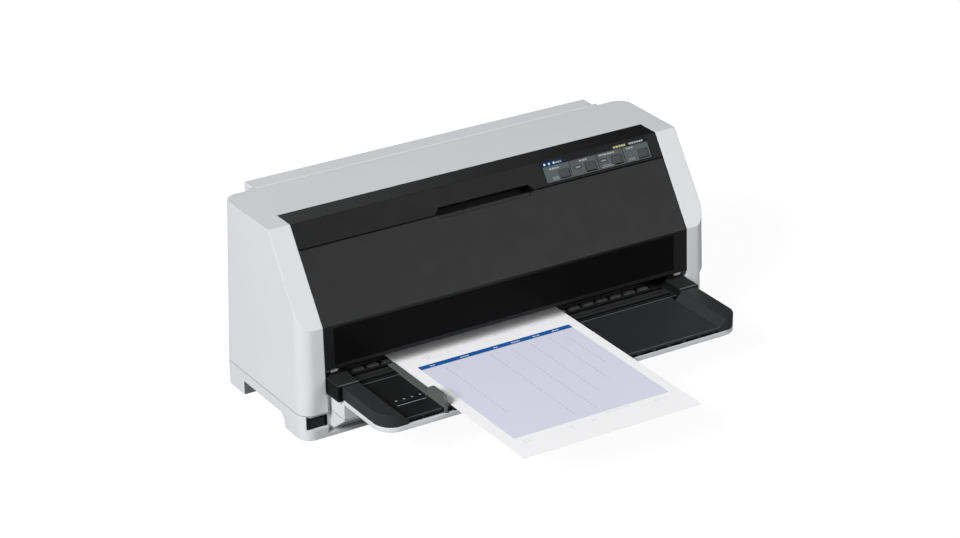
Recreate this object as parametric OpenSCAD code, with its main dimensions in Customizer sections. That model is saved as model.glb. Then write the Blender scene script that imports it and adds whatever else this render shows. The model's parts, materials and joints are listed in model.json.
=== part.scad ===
// Flatbed dot matrix printer: light shell, dark hinged front cover, front paper tray,
// and the print mechanism inside. Origin: centre of the footprint, on the table.
// +X is the printer's right-hand side seen from the front, +Y the back, +Z up.
// Depths (y) below are measured from the front bend line, where the slanted
// cover meets its upright lower part; bend_y puts that line in the part's frame.

/* [Housing] */
// Overall width of the housing
body_w = 500; // [490:5:520]
// Height of the flat top above the table
body_top = 210; // [208:1:216]
// Height of the seam between base and upper housing
seam_z = 28; // [27:0.5:29]
// Depth of the back wall behind the bend line, at the seam
body_back = 163; // [162:1:168]
// How far each side leans in from the seam to the top
side_draft = 2; // [0.5:0.5:3]
// How far the back leans forward from the seam to the top
back_draft = 5; // [3:0.5:6]
// How far the front face stands forward of the bend line at the seam
front_lean = 4.7; // [4:0.1:5]
// Radius of the four upright corners
corner_r = 15; // [10:1:18]
// Wall thickness of the shells
wall = 2.5; // [2:0.1:3]
// Width of each light side cheek beside the dark front
cheek_w = 27.3; // [26.5:0.1:28]
// Depth of the fold between top and slant
fold_y = 62; // [60:1:64]
// Depth of the rear edge of the dark strip in the top
strip_y = 88.8; // [86:0.2:92]
// Height of the front bend
bend_z = 120.5; // [118:0.5:123]
// Place of the bend line in front of the frame's centre plane
bend_y = 28; // [20:1:36]

/* [Base] */
// Height of the rubber feet under the base
foot_h = 1; // [0.8:0.1:1.5]
// Radius of a rubber foot
foot_r = 8; // [5:0.5:9]
// Height of the arch under each side
arch_h = 16.5; // [14:0.5:17]
// Depth where the front feet end and the arch starts
arch_front = 35.6; // [33:0.2:38]
// Depth where the arch ends at the rear foot
arch_back = 121; // [115:1:125]
// Radius of the arch's front corner
arch_r = 10; // [6:1:12]
// Thickness of the base's floor
floor_t = 2.5; // [2:0.1:3]
// How far the chin under the tray stands forward of the bend line
chin_reach = 28; // [24:1:28]
// How far the chin stands in from each cheek
chin_inset = 6.7; // [6.2:0.1:8.7]
// Height of the chin's underside where it meets the base
chin_z = 10; // [8:0.5:12]
// Height of the chin's front lower edge
chin_nose_z = 26.5; // [22:0.5:27]
// Height of the chin's top, which carries the tray mounts
chin_top = 48; // [47.5:0.1:48]
// Height of the front rail's groove
rail_groove_z = 5; // [4:0.5:6]

/* [Control strip] */
// Distance up the slant to the seam between cover and strip
seam_s = 81; // [80:0.1:82]
// Thickness of the strip and of the cover panel
panel_t = 2.6; // [2.2:0.1:3]
// Gap between the cover, the strip and the cheeks
panel_gap = 0.4; // [0.3:0.1:0.6]
// Width of the key panel
key_panel_w = 133.2; // [130:0.2:140]
// Distance of the key panel from the right cheek
key_panel_inset = 13.7; // [10.7:1:16.7]
// Lower edge of the key panel, up the slant
key_panel_s0 = 84; // [83.5:0.1:84.5]
// Upper edge of the key panel, up the slant
key_panel_s1 = 107.2; // [106.5:0.1:107.6]
// Thickness of the key panel's overlay
key_panel_t = 0.8; // [0.6:0.1:1.2]
// Place of the first key in the panel
key_inset = 23.5; // [22:0.1:24]
// Distance from key to key
key_pitch = 33.4; // [33:0.1:34]
// Distance of the keys up the slant
key_s = 91; // [90.5:0.1:91.5]
// Width of a key cap
key_w = 12; // [10:0.5:13]
// Height of a key cap
key_h = 9; // [8:0.5:10]
// How far a key cap stands out of the panel
key_proud = 0.9; // [0.6:0.1:1.5]
// Distance from lamp to lamp
lamp_pitch = 5.8; // [5:0.1:6]
// Radius of a lamp
lamp_r = 1.3; // [1:0.1:1.5]
// Place of the first lamp in the panel
lamp_inset = 3.2; // [2.6:0.1:4]
// Distance of the lamps up the slant
lamp_s = 103.9; // [103:0.1:104.5]
// Middle of the hand recess across the printer
grip_x = -2; // [-10:1:10]
// Width of the hand recess at the seam
grip_w = 124; // [110:2:130]
// Height of the hand recess above the seam
grip_h = 7.2; // [6:0.2:9]
// Depth of the hand recess behind the strip
grip_depth = 15; // [12:0.5:16]

/* [Front cover] */
// Height of the cover's lower edge
cover_low = 73.3; // [73.3:0.1:75]
// Height where the cover's end walls start
cover_wall_z = 84; // [82:0.5:88]
// Height of the cover's pivot
pivot_z = 70.5; // [70.5:0.1:71]
// Depth of the cover's pivot
pivot_y = 2; // [1.8:0.1:2.2]
// Radius of the cover's pivot pin
pivot_r = 2.6; // [2.2:0.1:2.8]
// Distance of the smoked window from each cheek
window_margin = 17.7; // [17:0.1:30]
// Lower edge of the smoked window
window_z0 = 77.5; // [77.5:0.5:84]
// Upper edge of the smoked window
window_z1 = 117.5; // [108:0.5:117.5]

/* [Rear cover] */
// Distance of the rear cover's ends from the housing's sides
rear_inset = 40; // [40:0.5:45]
// How far the rear cover reaches behind the bend line
rear_reach = 180; // [178:1:184]
// Height of the rear cover's lower edge
rear_low = 112; // [105:1:120]
// Radius of the rear cover's hinge knuckle
knuckle_r = 2.2; // [2:0.1:2.4]
// Radius of the rear cover's hinge pin
rear_pin_r = 1.4; // [1.2:0.1:1.5]

/* [Tray] */
// How far the tray's sides stand in from each cheek
tray_inset = 6.7; // [6.7:0.1:8.7]
// Height of the tray's side blocks
tray_top = 64.5; // [63:0.5:66]
// Height of the tray's floor
tray_floor_z = 56.5; // [56:0.1:56.8]
// Thickness of the tray's floor
tray_floor_t = 3; // [2.5:0.1:3.2]
// How far the tray reaches in front of the bend line
tray_reach = 104; // [100:1:108]
// Radius of the tray's front corners
tray_r = 18; // [14:1:20]
// Width of the flat top of a side block
tray_side_w = 19; // [16:0.5:20]
// Slope width from a side block's top down to the floor
tray_slope = 8; // [6:0.5:9]
// Thickness of the light shell under the tray
under_t = 5; // [4:0.5:6]
// Depth of the tray's rear edge in front of the bend line
tray_rear = 18; // [17.5:0.1:18.5]

/* [Paper] */
// Width of the sheet (A4)
sheet_w = 210; // [148:1:210]
// Length of the sheet (A4)
sheet_l = 297; // [290:1:300]
// Thickness of the sheet
sheet_t = 0.3; // [0.2:0.05:0.3]
// Height of the paper bed
bed_z = 57.5; // [57.5:0.1:57.6]
// Clearance between the sheet and what it runs over or under
sheet_gap = 0.3; // [0.25:0.05:0.35]
// Place of the sheet's left edge
sheet_x0 = -138.5; // [-138.5:0.5:-130]
// How far the sheet reaches in front of the bend line
sheet_reach = 236; // [230:1:238]

/* [Rollers] */
// Radius of the platen
platen_r = 13; // [12:0.5:13.5]
// Distance of the platen's ends from the side frames
platen_inset = 55; // [53:1:62]
// Radius of the platen's shaft
platen_shaft_r = 5; // [4:0.5:6]
// Depth of the print line
print_y = 61.5; // [61:0.1:62]
// Distance from the print line to the rear feed rollers; the front ones mirror them
feed_span = 25.5; // [25.2:0.1:26]
// Radius of the driven feed rollers
feed_r = 9; // [8:0.5:9]
// Radius of the driven feed shafts
feed_shaft_r = 4; // [3:0.5:5]
// Radius of the pinch rollers
pinch_r = 6.5; // [6.5:0.1:6.8]
// Radius of the pinch shafts
pinch_shaft_r = 2.5; // [2:0.1:2.5]
// Distance between pinch rollers
pinch_pitch = 17.6; // [17:0.1:17.8]
// Width of a pinch roller
pinch_w = 11; // [8:0.5:13]
// Depth of the row of small rollers in the front of the paper bed
bed_roller_y = 15; // [14.5:0.1:16]
// Radius of these small rollers
bed_roller_r = 5.5; // [5:0.1:6]
// Width of one of them
bed_roller_w = 14; // [10:0.5:15]
// Running clearance of shafts in their bearings
run_gap = 0.06; // [0.03:0.01:0.1]
// Radius of the paper knob
knob_r = 14; // [12:0.5:15]

/* [Frame] */
// Thickness of the steel side frames
frame_t = 2; // [1.5:0.1:2]
// Distance of the side frames' inner faces from the cheeks
frame_inset = 17.7; // [17.7:0.1:18.2]
// Radius of the carriage guide rod
rod_r = 5; // [4:0.5:5]
// Depth of the guide rod
rod_y = 36; // [35.8:0.1:36.2]
// Height of the guide rod
rod_z = 86; // [85.5:0.1:86.5]
// Radius of the print head's body
head_r = 16.3; // [15:0.1:16.3]

/* [Carriage] */
// Gap between the carriage at rest and the ribbon cartridge's left arm
carriage_rest = 14; // [10:1:60]
// Width of the carriage
carriage_w = 48; // [44:1:50]
// Height of the belt pulleys' axis
pulley_z = 121; // [120:0.5:122]
// Distance of each belt pulley from the side frame
pulley_inset = 27; // [25:1:29]
// Radius of the belt's inner side
belt_r = 9; // [8.5:0.1:9.2]
// Thickness of the belt
belt_t = 1.4; // [1:0.1:1.6]
// Width of the belt
belt_w = 6; // [5:0.5:6]

/* [Hidden] */
$fn = 48;
hull_fn = 40;

// Colours
shell_grey = [0.83, 0.835, 0.85];
cover_black = [0.16, 0.165, 0.165];
deep_black = [0.07, 0.07, 0.075];
tray_black = [0.2, 0.205, 0.21];
steel = [0.72, 0.73, 0.75];
rubber_black = [0.1, 0.1, 0.1];
gear_white = [0.88, 0.88, 0.84];
board_green = [0.08, 0.3, 0.16];

// Slant of the cover: unit vector up the slant and its outward normal, in (y, z)
slant_l = norm([fold_y, body_top - bend_z]);
up = [fold_y, body_top - bend_z] / slant_l;
out = [-up[1], up[0]];
slant_angle = atan2(up[1], up[0]);
lean_rate = front_lean / (bend_z - seam_z);
mouth_hw = body_w / 2 - cheek_w;          // half width of the dark front
chin_hw = mouth_hw - chin_inset;
tray_hw = mouth_hw - tray_inset;
window_hw = mouth_hw - window_margin;
rear_hw = body_w / 2 - rear_inset;
frame_x = mouth_hw - frame_inset;
pulley_x = frame_x - pulley_inset;
platen_l = 2 * (frame_x - platen_inset);
key_panel_x1 = mouth_hw - key_panel_inset;
key_panel_x0 = key_panel_x1 - key_panel_w;
key_x0 = key_panel_x0 + key_inset;
lamp_x0 = key_panel_x0 + lamp_inset;
base_bottom = foot_h;
base_floor = arch_h + floor_t;            // top of the base's floor
pan_t = 1.2;
pan_top = base_floor + pan_t;
gap = panel_gap;

function front_y(z) = -lean_rate * (bend_z - z);
function half_w(z) = body_w / 2 - side_draft * (z - seam_z) / (body_top - seam_z);
function back_y(z) = body_back - back_draft * (z - seam_z) / (body_top - seam_z);
function on_slant(s, t = 0) = [0, bend_z] + s * up + t * out;
// Inner corner of the bend for a panel of thickness t
function inner_bend(t) = let(s = t * (1 - up[1] - lean_rate * up[0]) / (up[0] - lean_rate * up[1]))
    on_slant(s, -t);

// Heights of the paper path
sheet_z = bed_z + sheet_gap;
sheet_top = sheet_z + sheet_t;
platen_z = bed_z - platen_r;
feed_z = bed_z - feed_r;
pinch_z = sheet_top + sheet_gap + pinch_r;
front_feed = [print_y - feed_span, feed_z];
rear_feed = [print_y + feed_span, feed_z];
front_pinch = [print_y - feed_span, pinch_z];
rear_pinch = [print_y + feed_span, pinch_z];
platen = [print_y, platen_z];
bed_roller = [bed_roller_y, bed_z - bed_roller_r];
ribbon_z = sheet_top + sheet_gap;
ribbon_t = 0.3;
nose_z = ribbon_z + ribbon_t + sheet_gap;

// The range from h below c to h above it
function span(c, h) = [c - h, c + h];
module box(x, y, z)
    translate([x[0], bend_y + y[0], z[0]]) cube([x[1] - x[0], y[1] - y[0], z[1] - z[0]]);
module x_prism(x, yz)
    translate([x[0], bend_y, 0]) rotate([90, 0, 90]) linear_extrude(x[1] - x[0]) polygon(yz);
module y_prism(y, xz)
    translate([0, bend_y + y[1], 0]) rotate([90, 0, 0]) linear_extrude(y[1] - y[0]) polygon(xz);
module x_rod(x, yz, r)
    translate([x[0], bend_y + yz[0], yz[1]]) rotate([0, 90, 0]) cylinder(h = x[1] - x[0], r = r);
module y_rod(y, xz, r)
    translate([xz[0], bend_y + y[0], xz[1]]) rotate([-90, 0, 0]) cylinder(h = y[1] - y[0], r = r);
module z_rod(z, xy, r)
    translate([xy[0], bend_y + xy[1], z[0]]) cylinder(h = z[1] - z[0], r = r);
module both() { children(); mirror([1, 0, 0]) children(); }
// Children drawn with x across, y up the slant and z out of it
module on_panel(x, s, t = 0)
    translate([x, bend_y + on_slant(s, t)[0], on_slant(s, t)[1]]) rotate([slant_angle, 0, 0])
        children();

// One thin level of the shell's outline: a rounded rectangle, moved in by inset
module shell_level(z, inset, h = 0.01)
    for (x = [-1, 1], y = [front_y(z) + inset + corner_r - inset, back_y(z) - corner_r])
        translate([x * (half_w(z) - corner_r), bend_y + y, z])
            cylinder(h = h, r = corner_r - inset, $fn = hull_fn);

// The shell's drafted outer form between two heights, cut off by the slanted front
module shell_form(z0, z1, inset) {
    difference() {
        hull() {
            shell_level(z0, inset);
            shell_level(z1 - 0.01, inset);
        }
        x_prism([-body_w, body_w], [on_slant(-60, -inset), on_slant(slant_l + 60, -inset),
            on_slant(slant_l + 60, 80), on_slant(-60, 80)]);
    }
}

// ---------------------------------------------------------------- base
screw_x = body_w / 2 - 19;
screw_ys = [26, 128];
screw_r = 1.5;
post_r = 5;
chin_gap = mouth_hw - chin_hw - 1.5;
chin_root = 6;
recess_x = body_w / 2 - 10;
recess_back = 110;
recess_top = 66.5;
switch_x = [-body_w / 2 + 5.5, -body_w / 2 + 29];
switch_z = [12.5, seam_z - 0.2];
switch_back = 18;
front_foot_w = 27;
vent_n = 9;              // vents of the floor on each side of the middle one
vent_pitch = 16;
vent_w = 4;
vent_y = [44, 74];

module screw_posts(z)
    for (x = [-1, 1], y = screw_ys) z_rod(z, [x * screw_x, y], post_r);

module base_case() color(shell_grey) difference() {
    union() {
        difference() {
            hull() {
                shell_level(base_bottom, 1);
                shell_level(seam_z - 0.01, 0);
            }
            // inside, open to the top
            hull() {
                shell_level(base_floor, wall);
                shell_level(seam_z + 1, wall);
            }
        }
        screw_posts([base_floor - 0.5, seam_z]);
        // ledge that closes the knob recess from below
        box([recess_x - wall, half_w(seam_z) - 0.5], [2, recess_back + wall], [seam_z - wall, seam_z]);
        // lower half of the chin, and the walls behind the grooves beside it
        x_prism([-chin_hw, chin_hw], [[-chin_reach, seam_z], [-chin_reach, chin_nose_z],
            [-chin_root, chin_z], [0, chin_z], [0, seam_z]]);
        both() box([chin_hw - wall, mouth_hw + wall], [0.01, wall], [base_floor - 1, seam_z]);
    }
    // chin is hollow and open into the base
    x_prism([-chin_hw + wall, chin_hw - wall], [[-chin_reach + wall, seam_z + 1],
        [-chin_reach + wall, chin_nose_z + wall / 2], [-chin_root + wall / 2, chin_z + wall],
        [wall, chin_z + wall], [wall, seam_z + 1]]);
    // groove between the cheeks and the chin
    both() box([chin_hw, chin_hw + chin_gap], [-10, 0], [rail_groove_z, seam_z + 1]);
    // groove above the front rail
    box([-chin_hw - chin_gap, chin_hw + chin_gap], [-10, 1.5], [rail_groove_z, chin_z]);
    // arch through both sides
    box([-body_w, body_w], [arch_front, arch_back], [-1, arch_h - arch_r]);
    box([-body_w, body_w], [arch_front + arch_r, arch_back], [-1, arch_h]);
    x_rod([-body_w / 2 - 5, body_w / 2 + 5], [arch_front + arch_r, arch_h - arch_r], arch_r);
    // hollows behind the front rail and inside the rear foot
    box([-body_w / 2 + front_foot_w, body_w / 2 - front_foot_w], [6.5, arch_back - 1],
        [-1, arch_h]);
    box([-body_w / 2 + front_foot_w, body_w / 2 - front_foot_w], [arch_back + 3.5,
        body_back - 3.5], [-1, arch_h - 2.5]);
    // notch for the power switch
    box(switch_x + [-0.2, 0.2], [-10, switch_back + 0.2], [switch_z[0] - 0.2, seam_z + 1]);
    // screw holes with wide mouths for the heads
    for (x = [-1, 1], y = screw_ys) {
        z_rod([-1, seam_z + 1], [x * screw_x, y], screw_r + 0.2);
        z_rod([-1, arch_h - 6], [x * screw_x, y], 3.4);
    }
    // vents in the floor
    for (i = [-vent_n:vent_n]) box(span(i * vent_pitch, vent_w / 2), vent_y, [arch_h - 1, base_floor + 1]);
}

module rubber_feet() color(rubber_black)
    for (p = [[body_w / 2 - 12, 10], [body_w / 2 - 14, 144]], m = [-1, 1])
        z_rod([0, base_bottom], [m * p[0], p[1]], foot_r);

module case_screws() color(steel) for (x = [-1, 1], y = screw_ys) {
    z_rod([arch_h - 8, arch_h - 6], [x * screw_x, y], 2.8);
    z_rod([arch_h - 6, seam_z + 10], [x * screw_x, y], screw_r);
}

// ---------------------------------------------------------------- upper housing
slot_hw = 160;                 // rear paper slot
hinge_p = [back_y(body_top) + 0.4 + knuckle_r, body_top - knuckle_r];
lug_x = [rear_hw + gap, rear_hw + gap + 4];
ledge_w = 7;
port_z = [29.5, 41.5];
inlet_x = [body_w / 2 - 50, body_w / 2 - 23];
parallel_x = [-frame_x + 34, -frame_x + 102];
usb_x = [-frame_x + 14, -frame_x + 28];
inlet_z = [31.5, 52];
flange_y = body_back - 1.8;

module recess_outline(y, inset) y_prism(y, [[recess_x - inset, seam_z - 1],
    [recess_x - inset, recess_top + inset * 0.8], [body_w / 2 + 10, recess_top + 9 + inset],
    [body_w / 2 + 10, seam_z - 1]]);

module upper_housing() color(shell_grey) difference() {
    union() {
        difference() {
            shell_form(seam_z, body_top, 0);
            shell_form(seam_z - 1, body_top - wall, wall);
            // the open front: all between the cheeks, back to the strip's rear edge
            box([-mouth_hw, mouth_hw], [-20, strip_y], [chin_top, body_top + 5]);
        }
        intersection() {
            shell_form(seam_z, body_top, 0);
            union() {
                // inner walls of the cheeks
                both() x_prism([mouth_hw, mouth_hw + wall], [[-10, chin_top], [38, chin_top],
                    [38, 96], [strip_y + 6, 178], [strip_y + 6, body_top], [-10, body_top]]);
                // lining of the knob recess
                recess_outline([-20, recess_back + wall], wall);
                // screw posts and the ribs that join them to the sides
                screw_posts([seam_z, 62]);
                for (m = [-1, 1], y = screw_ys) box(m > 0 ? [screw_x, body_w / 2]
                    : [-body_w / 2, -screw_x], [y - 1.2, y + 1.2], [seam_z, 60]);
            }
        }
        // upper half of the chin, and the walls behind the grooves beside it
        box([-chin_hw, chin_hw], [-chin_reach, wall], [seam_z, chin_top]);
        both() box([chin_hw - wall, mouth_hw + wall], [0.01, wall], [seam_z, chin_top]);
        // ledges under the control strip
        both() x_prism([mouth_hw - ledge_w, mouth_hw + 1], [[fold_y + 3, body_top - panel_t - 5],
            [strip_y - gap - 4, body_top - panel_t - 5], [strip_y - gap - 4, body_top - panel_t],
            [fold_y + 3, body_top - panel_t]]);
        // hinge lugs of the rear cover
        both() box(lug_x, [hinge_p[0] - knuckle_r - 1.5, hinge_p[0] + knuckle_r], [body_top - 9, body_top]);
    }
    box([-chin_hw + wall, chin_hw - wall], [-chin_reach + wall, wall], [seam_z - 1, chin_top - wall]);
    both() box([chin_hw, chin_hw + chin_gap], [-10, 0], [seam_z - 1, chin_top]);
    recess_outline([-20, recess_back], 0);
    // bores for the cover's pivots
    x_rod([-mouth_hw - wall - 1, mouth_hw + wall + 1], [pivot_y, pivot_z], pivot_r + run_gap);
    // bores for the rear cover's pins
    x_rod([-rear_hw - 5, rear_hw + 5], hinge_p, rear_pin_r + run_gap);
    // hole for the paper knob's shaft
    x_rod([recess_x - wall - 5, recess_x + 5], platen, platen_shaft_r + 1);
    for (x = [-1, 1], y = screw_ys) z_rod([seam_z - 1, seam_z + 10.5], [x * screw_x, y], screw_r + 0.1);
    // rear paper slot, service opening behind the rear cover, ports and vents
    box([-slot_hw, slot_hw], [body_back - 15, body_back + 5], [bed_z - 5, bed_z + 9]);
    box([-rear_hw + 20, rear_hw - 20], [body_back - 15, body_back + 5], [rear_low + 6, body_top - 14]);
    box(parallel_x, [body_back - 15, body_back + 5], port_z);
    box(usb_x, [body_back - 15, body_back + 5], port_z);
    box(inlet_x, [body_back - 15, body_back + 5], inlet_z);
    box(inlet_x + [-2.7, 2.7], [flange_y, body_back + 5], inlet_z + [-2.7, 2.7]);
    for (i = [0:13]) box([-40 + i * 9, -36 + i * 9], [body_back - 15, body_back + 5], [76, 100]);
}

// ---------------------------------------------------------------- control strip
bezel_hw = mouth_hw - gap;
strip_s0 = seam_s + gap / 2;
grip_top_w = grip_w - 15;

module grip_shape(grow) polygon([[-grip_w / 2 - grow, -1 - grow], [-grip_top_w / 2 - grow * 0.6,
    grip_h + grow], [grip_top_w / 2 + grow * 0.6, grip_h + grow], [grip_w / 2 + grow, -1 - grow]]);

module control_bezel() color(cover_black) difference() {
    union() {
        x_prism([-bezel_hw, bezel_hw], [[strip_y - gap, body_top], [fold_y, body_top],
            on_slant(strip_s0), on_slant(strip_s0, -6), on_slant(strip_s0 + 1.6, -6),
            on_slant(strip_s0 + 1.6, -panel_t), [fold_y + 1.4, body_top - panel_t],
            [strip_y - gap - 1.6, body_top - panel_t], [strip_y - gap - 1.6, body_top - 7],
            [strip_y - gap, body_top - 7]]);
        // cup behind the hand recess
        on_panel(grip_x, seam_s, -grip_depth) linear_extrude(grip_depth - 1) intersection() {
            grip_shape(1.6);
            translate([-grip_w, gap / 2]) square([2 * grip_w, 30]);
        }
    }
    on_panel(grip_x, seam_s, -grip_depth + 1.6) linear_extrude(grip_depth + 5) grip_shape(0);
    // pocket for the key panel
    on_panel(key_panel_x0, key_panel_s0, -key_panel_t)
        cube([key_panel_x1 - key_panel_x0, key_panel_s1 - key_panel_s0, 5]);
    for (i = [0:3]) on_panel(key_x0 + i * key_pitch, key_s, -10)
        translate([-key_w / 2 - 0.4, -key_h / 2 - 0.4, 0]) cube([key_w + 0.8, key_h + 0.8, 20]);
    for (i = [0:2]) on_panel(lamp_x0 + i * lamp_pitch, lamp_s, -10) cylinder(h = 20, r = lamp_r + 0.15);
}

module key_panel() color([0.34, 0.37, 0.37]) difference() {
    on_panel(key_panel_x0 + 0.2, key_panel_s0 + 0.2, -key_panel_t)
        cube([key_panel_x1 - key_panel_x0 - 0.4, key_panel_s1 - key_panel_s0 - 0.4, key_panel_t]);
    for (i = [0:3]) on_panel(key_x0 + i * key_pitch, key_s, -10)
        translate([-key_w / 2 - 0.4, -key_h / 2 - 0.4, 0]) cube([key_w + 0.8, key_h + 0.8, 20]);
    for (i = [0:2]) on_panel(lamp_x0 + i * lamp_pitch, lamp_s, -10) cylinder(h = 20, r = lamp_r + 0.15);
}

module status_lamps() color([0.6, 0.8, 1]) for (i = [0:2])
    on_panel(lamp_x0 + i * lamp_pitch, lamp_s, -4) cylinder(h = 4.2, r = lamp_r);

key_guard_t = 1.5;
module key(i) color([0.25, 0.26, 0.27]) {
    on_panel(key_x0 + i * key_pitch, key_s, -panel_t - 0.3 - key_guard_t) {
        translate([-key_w / 2, -key_h / 2, 0]) cube([key_w, key_h, panel_t + 0.3 + key_guard_t
            + key_proud]);
        translate([-key_w / 2 - 1.5, -key_h / 2 - 1.2, 0]) cube([key_w + 3, key_h + 2.4, key_guard_t]);
    }
}
module key_1() key(0);
module key_2() key(1);
module key_3() key(2);
module key_4() key(3);

// ---------------------------------------------------------------- power switch
rocker_w = 18;
rocker_h = 11;
rocker_x = (switch_x[0] + switch_x[1]) / 2;
rocker_y = 3;
rocker_tilt = 7;
rocker_pin_r = 1.2;
switch_front = front_y(switch_z[1]) - 0.4;

module switch_body() color(deep_black) difference() {
    box(switch_x, [switch_front, switch_back], switch_z);
    box(span(rocker_x, rocker_w / 2 + 1.6), [switch_front - 1, 14],
        span((switch_z[0] + switch_z[1]) / 2, rocker_h / 2 + 0.3));
    z_rod([switch_z[0] + 0.7, switch_z[1] - 0.7], [rocker_x, rocker_y], rocker_pin_r + run_gap);
}

module power_rocker() color([0.12, 0.12, 0.13]) {
    z_rod([switch_z[0] + 1, switch_z[1] - 1], [rocker_x, rocker_y], rocker_pin_r);
    translate([rocker_x, bend_y + rocker_y, (switch_z[0] + switch_z[1] - rocker_h) / 2])
        rotate([0, 0, -rocker_tilt]) linear_extrude(rocker_h) polygon([[-rocker_w / 2, -8.6],
            [0, -7.4], [rocker_w / 2, -8.6], [rocker_w / 2 - 1, -1], [2, 3], [-2, 3],
            [-rocker_w / 2 + 1, -1]]);
}

// ---------------------------------------------------------------- front cover
cover_hw = mouth_hw - gap;
ear_x = [frame_x - 5, frame_x];
ear_r = pivot_r + 1.2;
cover_s1 = seam_s - gap / 2;
window_t = 1.6;

module cover_section(t) polygon([on_slant(cover_s1), [0, bend_z], [front_y(cover_low), cover_low],
    [front_y(cover_low) + t, cover_low], inner_bend(t), on_slant(cover_s1, -t)]);

module front_cover() color(cover_black) difference() {
    union() {
        translate([-cover_hw, bend_y, 0]) rotate([90, 0, 90]) linear_extrude(2 * cover_hw)
            cover_section(panel_t);
        // end walls, and stiffening ribs above the window
        for (x = [-cover_hw, cover_hw - 2]) x_prism([x, x + 2], [on_slant(cover_s1 - 3),
            [0, bend_z], [front_y(cover_wall_z), cover_wall_z],
            [front_y(cover_wall_z) + 8, cover_wall_z + 6], inner_bend(9), on_slant(cover_s1 - 3, -8)]);
        for (x = [-70, 68]) x_prism([x, x + 2], [on_slant(cover_s1 - 3), [0, bend_z],
            inner_bend(9), on_slant(cover_s1 - 3, -8)]);
        // top edge turned in
        x_prism([-cover_hw, cover_hw], [on_slant(cover_s1), on_slant(cover_s1, -5),
            on_slant(cover_s1 - 1.8, -5), on_slant(cover_s1 - 1.8)]);
        // pivot ears and pins
        both() {
            x_rod(ear_x, [pivot_y, pivot_z], ear_r);
            box(ear_x, [pivot_y - ear_r, pivot_y], [pivot_z, cover_low + 3]);
            x_rod([ear_x[0], mouth_hw + wall], [pivot_y, pivot_z], pivot_r);
        }
    }
    // hand scoop in the top edge
    on_panel(grip_x, seam_s, -1.4) linear_extrude(5) polygon([[-grip_w / 2 + 4, 1],
        [-grip_w / 2 + 8, -4], [grip_w / 2 - 8, -4], [grip_w / 2 - 4, 1]]);
    // window opening, with a rebate that holds the window
    box([-window_hw + 3, window_hw - 3], [-20, 10], [window_z0 + 3, window_z1 - 3]);
    x_prism([-window_hw - 0.2, window_hw + 0.2], [[-10, window_z0 - 0.2],
        [front_y(window_z0 - 0.2) + window_t, window_z0 - 0.2],
        [front_y(window_z1 + 0.2) + window_t, window_z1 + 0.2], [-10, window_z1 + 0.2]]);
}

module cover_window() color([0.08, 0.08, 0.09]) x_prism([-window_hw, window_hw], [
    [front_y(window_z0), window_z0], [front_y(window_z0) + window_t, window_z0],
    [front_y(window_z1) + window_t, window_z1], [front_y(window_z1), window_z1]]);

// ---------------------------------------------------------------- rear cover
rear_t = 2.2;
module rear_cover() color(shell_grey) difference() {
    union() {
        x_rod([-rear_hw, rear_hw], hinge_p, knuckle_r);
        x_rod([-lug_x[1], lug_x[1]], hinge_p, rear_pin_r);
        box([-rear_hw, rear_hw], [hinge_p[0], rear_reach], [body_top - rear_t, body_top]);
        box([-rear_hw, rear_hw], [rear_reach - rear_t, rear_reach], [rear_low, body_top]);
        both() x_prism([rear_hw - rear_t, rear_hw], [[hinge_p[0], body_top], [rear_reach, body_top],
            [rear_reach, rear_low], [rear_reach - 6, rear_low], [hinge_p[0] + 3, body_top - 12]]);
        for (x = [-105, 0, 105]) x_prism([x - 0.9, x + 0.9], [[hinge_p[0] + 8, body_top - rear_t],
            [rear_reach, body_top - rear_t], [rear_reach, rear_low + 30], [rear_reach - 5, rear_low + 30],
            [rear_reach - 5, body_top - 14]]);
    }
    // louvres in the rear face
    for (i = [0:7]) box([-rear_hw + 60, rear_hw - 60], [rear_reach - 8, rear_reach + 1],
        [rear_low + 12 + i * 8, rear_low + 15.5 + i * 8]);
}

// ---------------------------------------------------------------- tray
mount_x = [tray_hw - 19, tray_hw + 5];
mount_y = [-25, 3];
mount_z = [chin_top, 66];
guide_slot_y = [-72, -68];

tray_z0 = 51;            // where the tray rests on its underside
skirt_hw = tray_hw - 26;

module tray_outline(z, hw, reach, r, rear) translate([0, bend_y, z[0]]) linear_extrude(z[1] - z[0])
    union() {
        translate([-hw, -reach + r]) square([2 * hw, reach - r - rear]);
        translate([-hw + r, -reach]) square([2 * hw - 2 * r, reach - rear]);
        for (m = [-1, 1]) translate([m * (hw - r), -reach + r]) circle(r = r);
    }

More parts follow.
